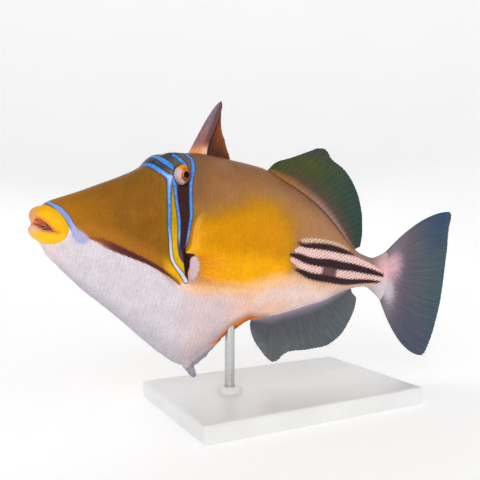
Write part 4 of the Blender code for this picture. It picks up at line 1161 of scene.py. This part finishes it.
def eyeball(name, side, node):
    """Dome of an eye with its pupil on the outer pole."""
    centre, (a, b, c) = eye_centre(side), EYE_RADII
    rings, segments = 72, 96
    angle = np.pi * np.linspace(0.004, 0.86, rings)[:, None]
    turn = circle(segments)
    degrees = np.degrees(angle) + 0 * turn
    lift = 1 + 0.035 * smoothstep(34, 28, degrees) - 0.03 * np.exp(-(((degrees - 36) / 4.0) ** 2))
    x = centre[0] + a * np.sin(angle) * np.cos(turn) * lift
    y = centre[1] + side * b * np.cos(angle) * lift * np.ones_like(turn)
    z = centre[2] + c * np.sin(angle) * np.sin(turn) * lift
    made = lofted(name, np.stack([x, y, z], axis=-1))
    made.data.shade_smooth()
    places = vertex_values(made.data) / MM
    local = (places - np.array(centre)) / np.array(EYE_RADII)
    write_attribute(made.data, "look", local * np.array([1, side, 1]))
    return placed(made, eye_paint(), "eye", node)


def eye_paint():
    """Black pupil, orange ring and a mottled rim that is gold above and grey below."""
    if "painted_eye" in bpy.data.materials:
        return bpy.data.materials["painted_eye"]
    p = Paint("painted_eye", 0.12)
    look = p.field("look", True)
    x, y, z = p.split(look)
    looking = p.line(y, -0.13, x)

    def away_from_pole(narrow):
        squares = p.line(p.times(looking, looking), narrow, p.times(z, z))
        return p.math("ARCTAN2", p.math("SQRT", squares), y)

    pupil, away = away_from_pole(0.75), away_from_pole(1.7)
    veins = p.noise(p.stretch(look, (6, 6, 6)), 1.0, 4)
    spots = p.noise(look, 9.0, 3)
    p.colour = p.mix(p.step(z, -0.8, -0.2), (0.34, 0.26, 0.29), (0.60, 0.49, 0.54))
    p.coat((0.82, 0.40, 0.34), p.step(away, 1.25, 0.78), 0.8)
    p.coat((0.24, 0.17, 0.19), p.times(p.step(veins, 0.47, 0.57), p.step(z, 0.1, -0.4)), 0.75)
    tilt = p.line(x, 0.45, z)
    p.coat((0.86, 0.42, 0.12), p.step(tilt, -0.04, 0.22), 0.8)
    p.coat((0.86, 0.30, 0.002), p.step(tilt, 0.12, 0.36))
    p.coat((0.58, 0.13, 0.004), p.step(away, 0.95, 0.68), p.step(tilt, 0.05, 0.25))
    p.coat((0.16, 0.05, 0.012), p.times(p.step(x, 0.05, 0.35), p.step(z, 0.98, 0.7)), 0.9)
    ring = p.mix(p.step(veins, 0.35, 0.65), (0.42, 0.10, 0.005), (0.80, 0.29, 0.03))
    ring = p.over(ring, (0.20, 0.035, 0.006), p.step(z, -0.12, -0.34), 0.8)
    ring = p.over(ring, (0.60, 0.16, 0.003), p.step(z, 0.12, 0.36), 0.85)
    ring = p.over(ring, (0.10, 0.052, 0.018), p.step(x, 0.18, 0.38), 0.9)
    p.colour = p.mix(p.step(away, 0.68, 0.58), p.colour, ring)
    border = p.times(p.step(p.math("ABSOLUTE", p.less(away, 0.64)), 0.10, 0.03), p.step(z, 0.3, 0.05))
    p.coat((0.15, 0.02, 0.03), border, 0.85)
    p.coat((0.001, 0.0, 0.0), p.step(p.line(spots, 0.05, pupil), 0.37, 0.33))
    p.set("Base Color", p.colour)
    p.set("Roughness", p.step(away, 0.6, 0.9, 0.05, 0.28))
    p.set("Specular IOR Level", 0.06)
    p.set("Coat Weight", 0.04)
    p.set("Coat Roughness", 0.03)
    p.bump(p.times(spots, p.step(away, 0.7, 0.9)), 0.2, 0.0002)
    return p.material


def ray_relief(f, t, rays, branch_from=0.5):
    """Height of the rays over the web, from 0 to 1: each ray splits in two towards the margin."""
    phase = f * (rays - 1)
    single = np.abs(np.mod(phase + 0.5, 1.0) - 0.5)
    spread = 0.22 * smoothstep(branch_from, 1.0, t)
    split = np.abs(single - spread)
    return np.exp(-((split / 0.15) ** 2)), phase


def soft_fin(name, node, root, line, lift, margin, rays, spread, wave, paint, slot):
    """Second dorsal or anal fin: rays and web between the body's outline and the margin."""
    f = np.linspace(0, 1, (rays - 1) * RAY_COLUMNS + 1)[:, None]
    t = np.concatenate([[-0.05], np.linspace(0, 1, 64)])[None, :]
    s0 = np.interp(f, (0, 1), root)
    h0 = curve(line, s0) + lift * 0.02
    s1, h1 = along(margin, f**spread)
    forward = np.maximum(t, 0)
    sway = wave * forward**1.6 * np.sin(2 * np.pi * (1.05 * f + 0.62))
    swell = 0.35 + 0.65 * np.sin(np.pi * f)
    half = SOFT_TIP_HALF + (SOFT_ROOT_HALF - SOFT_TIP_HALF) * (1 - forward) ** 3 * swell
    ridge, phase = ray_relief(f, forward, rays)
    dip = 1 - 0.012 * (1 - ridge) * smoothstep(0.9, 1.0, forward)
    s, h = s0 + (s1 - s0) * t * dip, h0 + (h1 - h0) * t * dip
    joints = JOINT_RELIEF * np.cos(2 * np.pi * SOFT_JOINTS * forward) * smoothstep(0.15, 0.4, forward)
    half = half + (SOFT_RIDGE + joints) * ridge * np.minimum(1, 3 * forward) * (1 - 0.5 * forward)
    made = sheet_object(name, s, sway, h, half, across=f, out=t, ray=phase, ridge=ridge)
    return placed(made, paint, slot, node)


def tail_fin():
    """Tail fin, spread from the stout root to a fanned margin."""
    f = np.linspace(0, 1, (CAUDAL_RAYS - 1) * CAUDAL_COLUMNS + 1)[:, None]
    t = np.concatenate([[-0.04, -0.02], np.linspace(0, 1, 78)])[None, :]
    forward = np.maximum(t, 0)
    (root_s, root_top), (_, root_low) = CAUDAL_ROOT
    h0 = np.interp(f, (0, 1), (root_top, root_low))
    s1, h1 = along(CAUDAL_MARGIN, f)
    bow = np.interp(f, (0, 1), CAUDAL_BOW) * 4 * forward * (1 - forward)
    sway = 0.5 * WAVE * forward**2 * np.sin(2 * np.pi * (0.8 * f + 0.1))
    body = 3.0 * np.sqrt(np.maximum(0, 1 - (2 * f - 1) ** 2))
    half = SOFT_TIP_HALF + 0.1 + np.maximum(body - 0.1, 0) * (1 - forward) ** 4
    half = half * np.where(t < 0, 0.9, 1.0)
    ridge, phase = ray_relief(f, forward, CAUDAL_RAYS, 0.4)
    dip = 1 - 0.010 * (1 - ridge) * smoothstep(0.92, 1.0, forward)
    s = root_s + (s1 - root_s) * t * dip
    h = h0 + (h1 - h0) * t * dip + bow
    joints = JOINT_RELIEF * np.cos(2 * np.pi * CAUDAL_JOINTS * forward) * smoothstep(0.15, 0.4, forward)
    half = half + (CAUDAL_RIDGE + joints) * ridge * smoothstep(0.04, 0.3, forward) * (1 - 0.5 * forward)
    made = sheet_object("tail_fin", s, sway, h, half, across=f, out=t, ray=phase, ridge=ridge)
    return placed(made, tail_paint(), "slate_web", "caudal_fin")


class FinPaint(Paint):
    """Paint over a fin, which runs from 0 to 1 across its rays and from 0 to 1 out along them."""

    def __init__(self, name):
        super().__init__(name)
        self.across, self.out, self.ray, self.ridge = map(self.field, ("across", "out", "ray", "ridge"))
        self.streak = self.noise(self.join(self.times(self.ray, 2.2), self.times(self.out, 3.0)), 1.0, 4)

    def finish(self, dark=0.18, rim=0.6, faint=0.70):
        """Fine light and dark along the rays, and the sheen and bumps of a painted fin."""
        self.coat((0.0, 0.0, 0.0), self.step(self.ridge, 0.75, 0.1), dark)
        fine = self.math("PINGPONG", self.times(self.ray, 3.0), 0.5)
        broad = self.step(self.streak, 0.25, 0.75, 0.80, 1.16)
        tone = self.times(broad, self.step(fine, 0.05, 0.4, faint, 1.10))
        self.coat((0.012, 0.014, 0.016), self.step(self.out, 0.975, 1.0, 0.0, rim))
        self.set("Base Color", self.shaded(tone))
        self.set("Roughness", self.step(self.streak, 0.3, 0.7, 0.42, 0.58))
        self.set("Specular IOR Level", 0.22)
        segments = self.math("PINGPONG", self.times(self.out, 30.0), 0.5)
        height = self.line(self.step(segments, 0.02, 0.14), 0.4, self.times(self.streak, 0.9))
        self.bump(height, 0.4, 0.00012)
        return self.material

    def clouds(self):
        return self.noise(self.join(self.times(self.across, 6.0), self.times(self.out, 5.0), 2.0), 1.0, 3)


def dorsal_paint():
    p = FinPaint("painted_dorsal_fin")
    across, out = p.across, p.out
    p.colour = p.mix(p.step(across, 0.22, 0.62), (0.051, 0.077, 0.014), (0.026, 0.061, 0.040))
    gilt = p.times(p.step(p.clouds(), 0.45, 0.65), p.step(across, 0.5, 0.2))
    p.coat((0.092, 0.080, 0.006), gilt, 0.65)
    p.coat((0.044, 0.058, 0.050), p.times(p.step(out, 0.6, 0.95), p.step(across, 0.42, 0.28)), 0.8)
    p.coat((0.018, 0.055, 0.055), p.times(p.step(out, 0.6, 1.0), p.step(across, 0.3, 0.6)), 0.6)
    middle = p.times(p.step(out, 0.60, 0.20), p.step(across, 0.04, 0.22))
    p.coat((0.105, 0.062, 0.034), middle, 0.75)
    base = p.line(p.less(p.streak, 0.5), 0.12, out)
    fringe = p.mix(p.step(across, 0.1, 0.7), (0.42, 0.17, 0.03), (0.42, 0.21, 0.19))
    p.coat(fringe, p.step(base, 0.23, 0.03), 0.95)
    p.coat((0.10, 0.035, 0.02), p.step(out, 0.030, 0.012), 0.8)
    return p.finish()


def anal_paint():
    p = FinPaint("painted_anal_fin")
    across, out = p.across, p.out
    p.colour = p.mix(p.step(out, 0.15, 0.9), (0.086, 0.089, 0.102), (0.100, 0.118, 0.128))
    p.coat((0.17, 0.165, 0.165), p.times(p.step(out, 0.5, 0.95), p.step(across, 0.5, 0.1)), 0.7)
    base = p.line(p.less(p.streak, 0.5), 0.14, out)
    p.coat((0.21, 0.185, 0.25), p.step(base, 0.20, 0.02), 0.85)
    p.coat((0.38, 0.31, 0.36), p.step(base, 0.05, -0.03), 0.7)
    return p.finish(0.04, 0.6, 0.84)


def tail_paint():
    p = FinPaint("painted_tail_fin")
    across, out = p.across, p.out
    p.colour = p.mix(p.step(out, 0.25, 0.95), (0.112, 0.095, 0.128), (0.055, 0.090, 0.110))
    upper = p.times(p.step(across, 0.40, 0.05), p.step(out, 0.35, 0.9))
    p.coat((0.024, 0.054, 0.128), upper, 0.95)
    lower = p.times(p.step(across, 0.6, 0.9), p.step(out, 0.05, 0.6))
    p.coat((0.066, 0.074, 0.125), lower, 0.8)
    p.coat((0.045, 0.092, 0.112), p.step(out, 0.86, 1.0), 0.7)
    dust = p.noise(p.join(p.times(across, 60.0), p.times(out, 90.0)), 1.0, 2)
    base = p.line(p.less(dust, 0.5), 0.45, out)
    place = p.line(p.less(dust, 0.5), 0.35, across)
    p.coat((0.26, 0.20, 0.24), p.step(base, 0.40, 0.02), 0.8)
    p.coat((0.78, 0.45, 0.51), p.spot(place, base, (0.34, 0.0), (0.28, 0.31)), 0.92)
    p.coat((0.66, 0.58, 0.64), p.spot(place, base, (0.70, 0.0), (0.26, 0.24)), 0.92)
    return p.finish(0.06, 0.6, 0.80)


def pectoral(name, side, node):
    """Nearly clear fan of orange rays over the flank."""
    f = np.linspace(0, 1, (PECTORAL_RAYS - 1) * RAY_COLUMNS + 1)[:, None]
    t = np.linspace(-0.09, 1, 52)[None, :]
    forward = np.maximum(t, 0)
    s0, h0 = (np.interp(f, (0, 1), ends) for ends in zip(*PECTORAL_ROOT))
    angle = np.interp(f, (0, 1), PECTORAL_ANGLES)
    ridge, phase = ray_relief(f, forward, PECTORAL_RAYS, 0.35)
    run = curve(PECTORAL_LENGTHS, f) * t * (1 - 0.03 * (1 - ridge) * smoothstep(0.85, 1, forward))
    s, h = s0 + run * np.cos(angle), h0 + run * np.sin(angle)
    raised = PECTORAL_RIDGE * ridge * np.minimum(1, 3 * forward) * (1 - 0.5 * forward)
    half = 0.20 + 0.9 * (1 - forward) ** 6 + raised
    clear = 0.45 + half + PECTORAL_FLARE * np.maximum(run, 0) - 1.6 * smoothstep(0.08, -0.09, t)
    across = side * (flank(s, h) + clear)
    made = sheet_object(name, s, across, h, half, across=f, out=t, ray=phase, ridge=ridge)
    return placed(made, pectoral_paint(), "pectoral_web", node)


def pectoral_paint():
    if "painted_pectoral_fin" in bpy.data.materials:
        return bpy.data.materials["painted_pectoral_fin"]
    p = FinPaint("painted_pectoral_fin")
    across, out = p.across, p.out
    low = p.step(across, 0.35, 0.95)
    ray_tone = p.mix(low, (1.0, 0.50, 0.03), (1.0, 0.68, 0.38))
    gap_tone = p.mix(low, (0.90, 0.33, 0.004), (1.0, 0.62, 0.34))
    p.colour = p.mix(p.step(p.ridge, 0.35, 0.8), gap_tone, ray_tone)
    bulge = p.times(p.times(across, p.less(1.0, across)), 0.42)
    beyond = p.less(out, bulge)
    p.coat((0.84, 0.36, 0.10), p.step(beyond, 0.09, 0.01), 0.6)
    outward = p.step(p.line(p.streak, 0.06, beyond), -0.02, 0.06)
    root = p.mix(outward, (0.68, 0.50, 0.56), (0.78, 0.44, 0.36))
    p.coat(root, p.step(beyond, 0.03, -0.02), 0.95)
    finished = p.finish(0.0, 0.0)
    solid = p.times(p.step(p.ridge, 0.5, 0.1, 0.46, 0.13), p.step(out, 0.10, 0.92, 1.0, 0.06))
    solid = p.times(solid, p.step(across, 0.40, 0.85, 1.0, 0.50))
    p.set("Alpha", p.math("MAXIMUM", solid, p.step(beyond, 0.03, -0.02)))
    return finished


def first_spine():
    """The stout locking spine with a rough front edge."""
    t = np.linspace(-0.06, 1, 90)[:, None]
    turn = circle(72)
    reach = np.maximum(t, 0)
    front_s, front_h = along(SPINE_FRONT, reach)
    rear_s, rear_h = along(SPINE_REAR, reach)
    front_h, rear_h = front_h + 30 * (t - reach), rear_h + 30 * (t - reach)
    share = (1 - np.cos(turn)) / 2
    closing = np.sqrt(np.clip((1.0 - t) / 0.045, 0, 1))
    rough = 1 + 0.05 * np.sin(t * 150) * smoothstep(0.75, 1.0, np.cos(turn)) * smoothstep(0.1, 0.3, t)
    width = SPINE_HALF_WIDTH * (1 - 0.5 * reach) * closing * rough
    flute = 1 - 0.12 * smoothstep(0.25, 0.45, share) * smoothstep(0.75, 0.55, share)
    mid_s, mid_h = (front_s + rear_s) / 2, (front_h + rear_h) / 2
    pinch = 0.25 + 0.75 * closing
    s = mid_s + (front_s + (rear_s - front_s) * share - mid_s) * pinch * rough
    h = mid_h + (front_h + (rear_h - front_h) * share - mid_h) * pinch + 1.1 * (1 - closing)
    made = lofted("first_spine", np.stack(np.broadcast_arrays(s, width * np.sin(turn) * flute, h), axis=-1))
    made.data.shade_smooth()
    write_attribute(made.data, "fish", vertex_values(made.data) / MM)
    return placed(made, spine_paint(), "spine", "dorsal_spine_fin")


def spine_web():
    """Web of skin behind the first spine, held by two short rays."""
    f = np.linspace(0, 1, 61)[:, None]
    t = np.linspace(-0.08, 1, 60)[None, :]
    s_low, h_low = (np.interp(f, (0, 1), ends) for ends in zip(*WEB_ROOT))
    h_low = h_low + WEB_LIFT
    s_high, h_high = along(WEB_EDGE, f)
    forward = np.maximum(t, 0)
    s = s_low + (s_high - s_low) * t - (1.3 - 0.3 * t) * (1 - f)
    sag = 0.5 * np.sin(np.pi * np.mod(f * 3, 1.0)) * forward**2
    h = h_low + (h_high - h_low) * t - sag
    ridge = np.exp(-(((np.mod(f * 3 + 0.5, 1.0) - 0.5) / 0.10) ** 2))
    half = 0.28 + 0.35 * (1 - forward) * (1 - f) + 0.28 * ridge * (1 - 0.5 * forward)
    web = sheet_object("spine_web", s, 0 * s, h, half, across=f, out=t, ray=3 * f, ridge=ridge)
    return placed(web, web_paint(), "spine")


def spine_paint():
    p = Paint("painted_spine")
    at = p.field("fish", True)
    s, _, h = p.split(at)
    rough = p.noise(p.stretch(at, (0.8, 0.8, 0.35), (0, 0.45, 0)), 1.0, 4)
    fine = p.noise(at, 4.0, 3)
    p.colour = p.mix(p.step(rough, 0.4, 0.62), (0.15, 0.105, 0.135), (0.23, 0.155, 0.195))
    p.coat((0.30, 0.095, 0.085), p.step(h, 61, 53), 0.7)
    p.coat((0.12, 0.022, 0.012), p.step(p.line(h, -0.26, s), 59.2, 60.6), 0.9)
    p.coat((1.0, 0.37, 0.09), p.step(p.line(s, -0.35, h), 25.5, 19.5), 0.9)
    # Pale orange knob at the rear of the spine's base, lightened with a painted highlight.
    p.coat((0.90, 0.62, 0.48), p.times(p.step(h, 49, 46), p.step(s, 71, 74)), 0.8)
    p.set("Base Color", p.colour)
    p.set("Roughness", p.step(fine, 0.3, 0.7, 0.42, 0.6))
    p.bump(p.line(rough, 0.8, fine), 0.5, 0.00022)
    return p.material


def web_paint():
    p = FinPaint("painted_spine_web")
    across, out = p.across, p.out
    p.colour = p.mix(p.step(out, 0.15, 0.95), (0.080, 0.018, 0.0), (0.33, 0.080, 0.001))
    p.coat((0.14, 0.030, 0.012), p.step(p.clouds(), 0.45, 0.65), 0.6)
    p.coat((0.035, 0.008, 0.010), p.step(across, 0.14, 0.02), 0.95)
    p.coat((0.24, 0.20, 0.23), p.times(p.step(out, 0.24, 0.04), p.step(across, 0.45, 0.9)), 0.8)
    p.coat((0.10, 0.05, 0.04), p.step(across, 0.94, 1.0), 0.6)
    return p.finish(0.2)


def tail_spines():
    """Small forward-leaning spines along the dark stripes of both sides."""
    t = np.linspace(0, 1, 5)[:, None]
    turn = circle(8)
    size = TAIL_SPINE_RADIUS * (1 - t) ** 0.8 + 0.03
    spines = []
    for line, count in TAIL_SPINE_ROWS:
        for s, h in zip(*along(line, np.arange(count) / (count - 1))):
            for side in (-1, 1):
                across = side * (float(flank(s, h)) - TAIL_SPINE_SUNK + TAIL_SPINE_RISE * t) + 0 * turn
                back, up = s - t**1.5 + 1.25 * size * np.cos(turn), h + 0.8 * size * np.sin(turn)
                spines.append(lofted("spine", np.stack([back, across, up], axis=-1)))
    made = joined("tail_spines", spines)
    made.data.shade_smooth()
    write_attribute(made.data, "fish", vertex_values(made.data) / MM)
    return placed(made, tail_spine_paint(), "spine")


def tail_spine_paint():
    p = Paint("painted_tail_spines", 0.4)
    at = p.field("fish", True)
    p.set("Base Color", p.mix(p.noise(at, 3.0, 3), (0.012, 0.005, 0.007), (0.035, 0.014, 0.016)))
    p.set("Roughness", p.step(p.noise(at, 5.0, 2), 0.3, 0.7, 0.5, 0.65))
    p.set("Specular IOR Level", 0.12)
    p.bump(p.noise(at, 6.0, 2), 0.3, 0.0001)
    return p.material


def stand():
    """The stand keeps its CAD nodes and gets its paint and steel here."""
    for name, paint in (("stand_base", white_paint()), ("stand_rod", steel_paint())):
        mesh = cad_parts[name].data
        mesh.materials.clear()
        mesh.materials.append(paint)
    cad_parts["stand_rod"].data.shade_smooth()


def white_paint():
    p = Paint("satin_white_paint")
    at = p.own_space()
    brushed = p.noise(p.stretch(at, (60, 900, 300)), 1.0, 4)
    broad = p.noise(at, 22.0, 3)
    colour = p.mix(p.step(broad, 0.3, 0.7), (0.78, 0.78, 0.775), (0.84, 0.84, 0.835))
    p.set("Base Color", p.over(colour, (0.55, 0.55, 0.54), brushed, 0.05))
    p.set("Roughness", p.step(brushed, 0.3, 0.7, 0.30, 0.42))
    p.bump(p.line(broad, 0.5, brushed), 0.08, 0.0002)
    return p.material


def steel_paint():
    p = Paint("brushed_steel")
    rings = p.noise(p.stretch(p.own_space(), (40, 40, 5200)), 1.0, 4)
    p.set("Base Color", p.mix(rings, (0.50, 0.50, 0.51), (0.66, 0.66, 0.66)))
    p.set("Metallic", 1.0)
    p.set("Roughness", p.step(rings, 0.3, 0.7, 0.24, 0.40))
    p.bump(rings, 0.12, 0.00005)
    return p.material


def paper_floor():
    """Pale floor that curves up into a wall all round."""
    profile = [(0.3, 0.0), (0.8, 0.0), (FLOOR_RADIUS, 0.0)]
    for n in range(1, 13):
        angle = math.pi / 2 * n / 12
        rise = WALL_BEND - WALL_BEND * math.cos(angle)
        profile.append((FLOOR_RADIUS + WALL_BEND * math.sin(angle), rise))
    profile.append((FLOOR_RADIUS + WALL_BEND, WALL_TOP))
    points, faces = [(0.0, 0.0, 0.0)], []
    for radius, height in profile:
        for k in range(FLOOR_SIDES):
            turn = 2 * math.pi * k / FLOOR_SIDES
            points.append((radius * math.cos(turn), radius * math.sin(turn), height))
    for k in range(FLOOR_SIDES):
        after = (k + 1) % FLOOR_SIDES
        faces.append((0, 1 + k, 1 + after))
        for r in range(len(profile) - 1):
            a, b = 1 + r * FLOOR_SIDES + k, 1 + r * FLOOR_SIDES + after
            faces.append((a, a + FLOOR_SIDES, b + FLOOR_SIDES, b))
    floor = mesh_object("studio_floor", np.array(points) / MM, faces)
    floor.data.shade_smooth()
    floor.data.materials.append(paper_paint())


def paper_paint():
    p = Paint("studio_paper", 0.9)
    at = p.own_space()
    p.set("Base Color", p.mix(p.noise(at, 3.0, 3), (0.93, 0.93, 0.93), (0.96, 0.96, 0.96)))
    p.set("Specular IOR Level", 0.1)
    p.set("Emission Color", (1.0, 1.0, 1.0))
    p.set("Emission Strength", 0.24)
    p.bump(p.noise(at, 300.0, 3), 0.05, 0.0005)
    return p.material


def light():
    """Soft white light from all round, and four large lamps."""
    world = bpy.data.worlds.new("studio_light")
    world.use_nodes = True
    background = world.node_tree.nodes["Background"]
    background.inputs["Color"].default_value = (1.0, 1.0, 1.0, 1.0)
    background.inputs["Strength"].default_value = WORLD_STRENGTH
    bpy.context.scene.world = world
    for name, place, size, power in LAMPS:
        area_light = bpy.data.lights.new(name, "AREA")
        area_light.size = size
        area_light.energy = power
        aimed(name, area_light, place, Vector(LIT_POINT) - Vector(place))


def photo_view():
    """The camera of the photograph."""
    back = Vector((
        math.sin(CAMERA_AZIMUTH) * math.cos(CAMERA_ELEVATION),
        -math.cos(CAMERA_AZIMUTH) * math.cos(CAMERA_ELEVATION),
        math.sin(CAMERA_ELEVATION),
    ))
    view = bpy.data.cameras.new("photo_view")
    view.lens = CAMERA_LENS
    view.sensor_width = 36.0
    view.clip_start = 0.01
    camera = aimed("photo_view", view, Vector(CAMERA_TARGET) + back * CAMERA_DISTANCE, -back)
    bpy.context.scene.camera = camera
    bpy.context.scene.view_settings.view_transform = "Standard"


def aimed(name, data, place, ahead):
    """Lamp or camera at a place, looking ahead."""
    made = bpy.data.objects.new(name, data)
    made.location = place
    made.rotation_euler = ahead.to_track_quat("-Z", "Y").to_euler()
    bpy.context.scene.collection.objects.link(made)
    return made


def corners(bounds):
    """Two corners as plain lists."""
    return [[round(float(v), 6) for v in corner] for corner in bounds]


def main():
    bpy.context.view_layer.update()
    skin()
    eyeball("eyeball_left", -1, "eye_left")
    eyeball("eyeball_right", 1, "eye_right")
    soft_fin(
        "second_dorsal_fin", "dorsal_fin", DORSAL_ROOT, BACK, 1, DORSAL_MARGIN,
        DORSAL_RAYS, DORSAL_SPREAD, WAVE, dorsal_paint(), "dorsal_web",
    )
    soft_fin(
        "lower_rear_fin", "anal_fin", ANAL_ROOT, BELLY, -1, ANAL_MARGIN,
        ANAL_RAYS, ANAL_SPREAD, -WAVE, anal_paint(), "slate_web",
    )
    tail_fin()
    pectoral("pectoral_fan_left", -1, "pectoral_fin_left")
    pectoral("pectoral_fan_right", 1, "pectoral_fin_right")
    first_spine()
    spine_web()
    tail_spines()
    stand()
    paper_floor()
    light()
    photo_view()
    bpy.context.view_layer.update()


main()
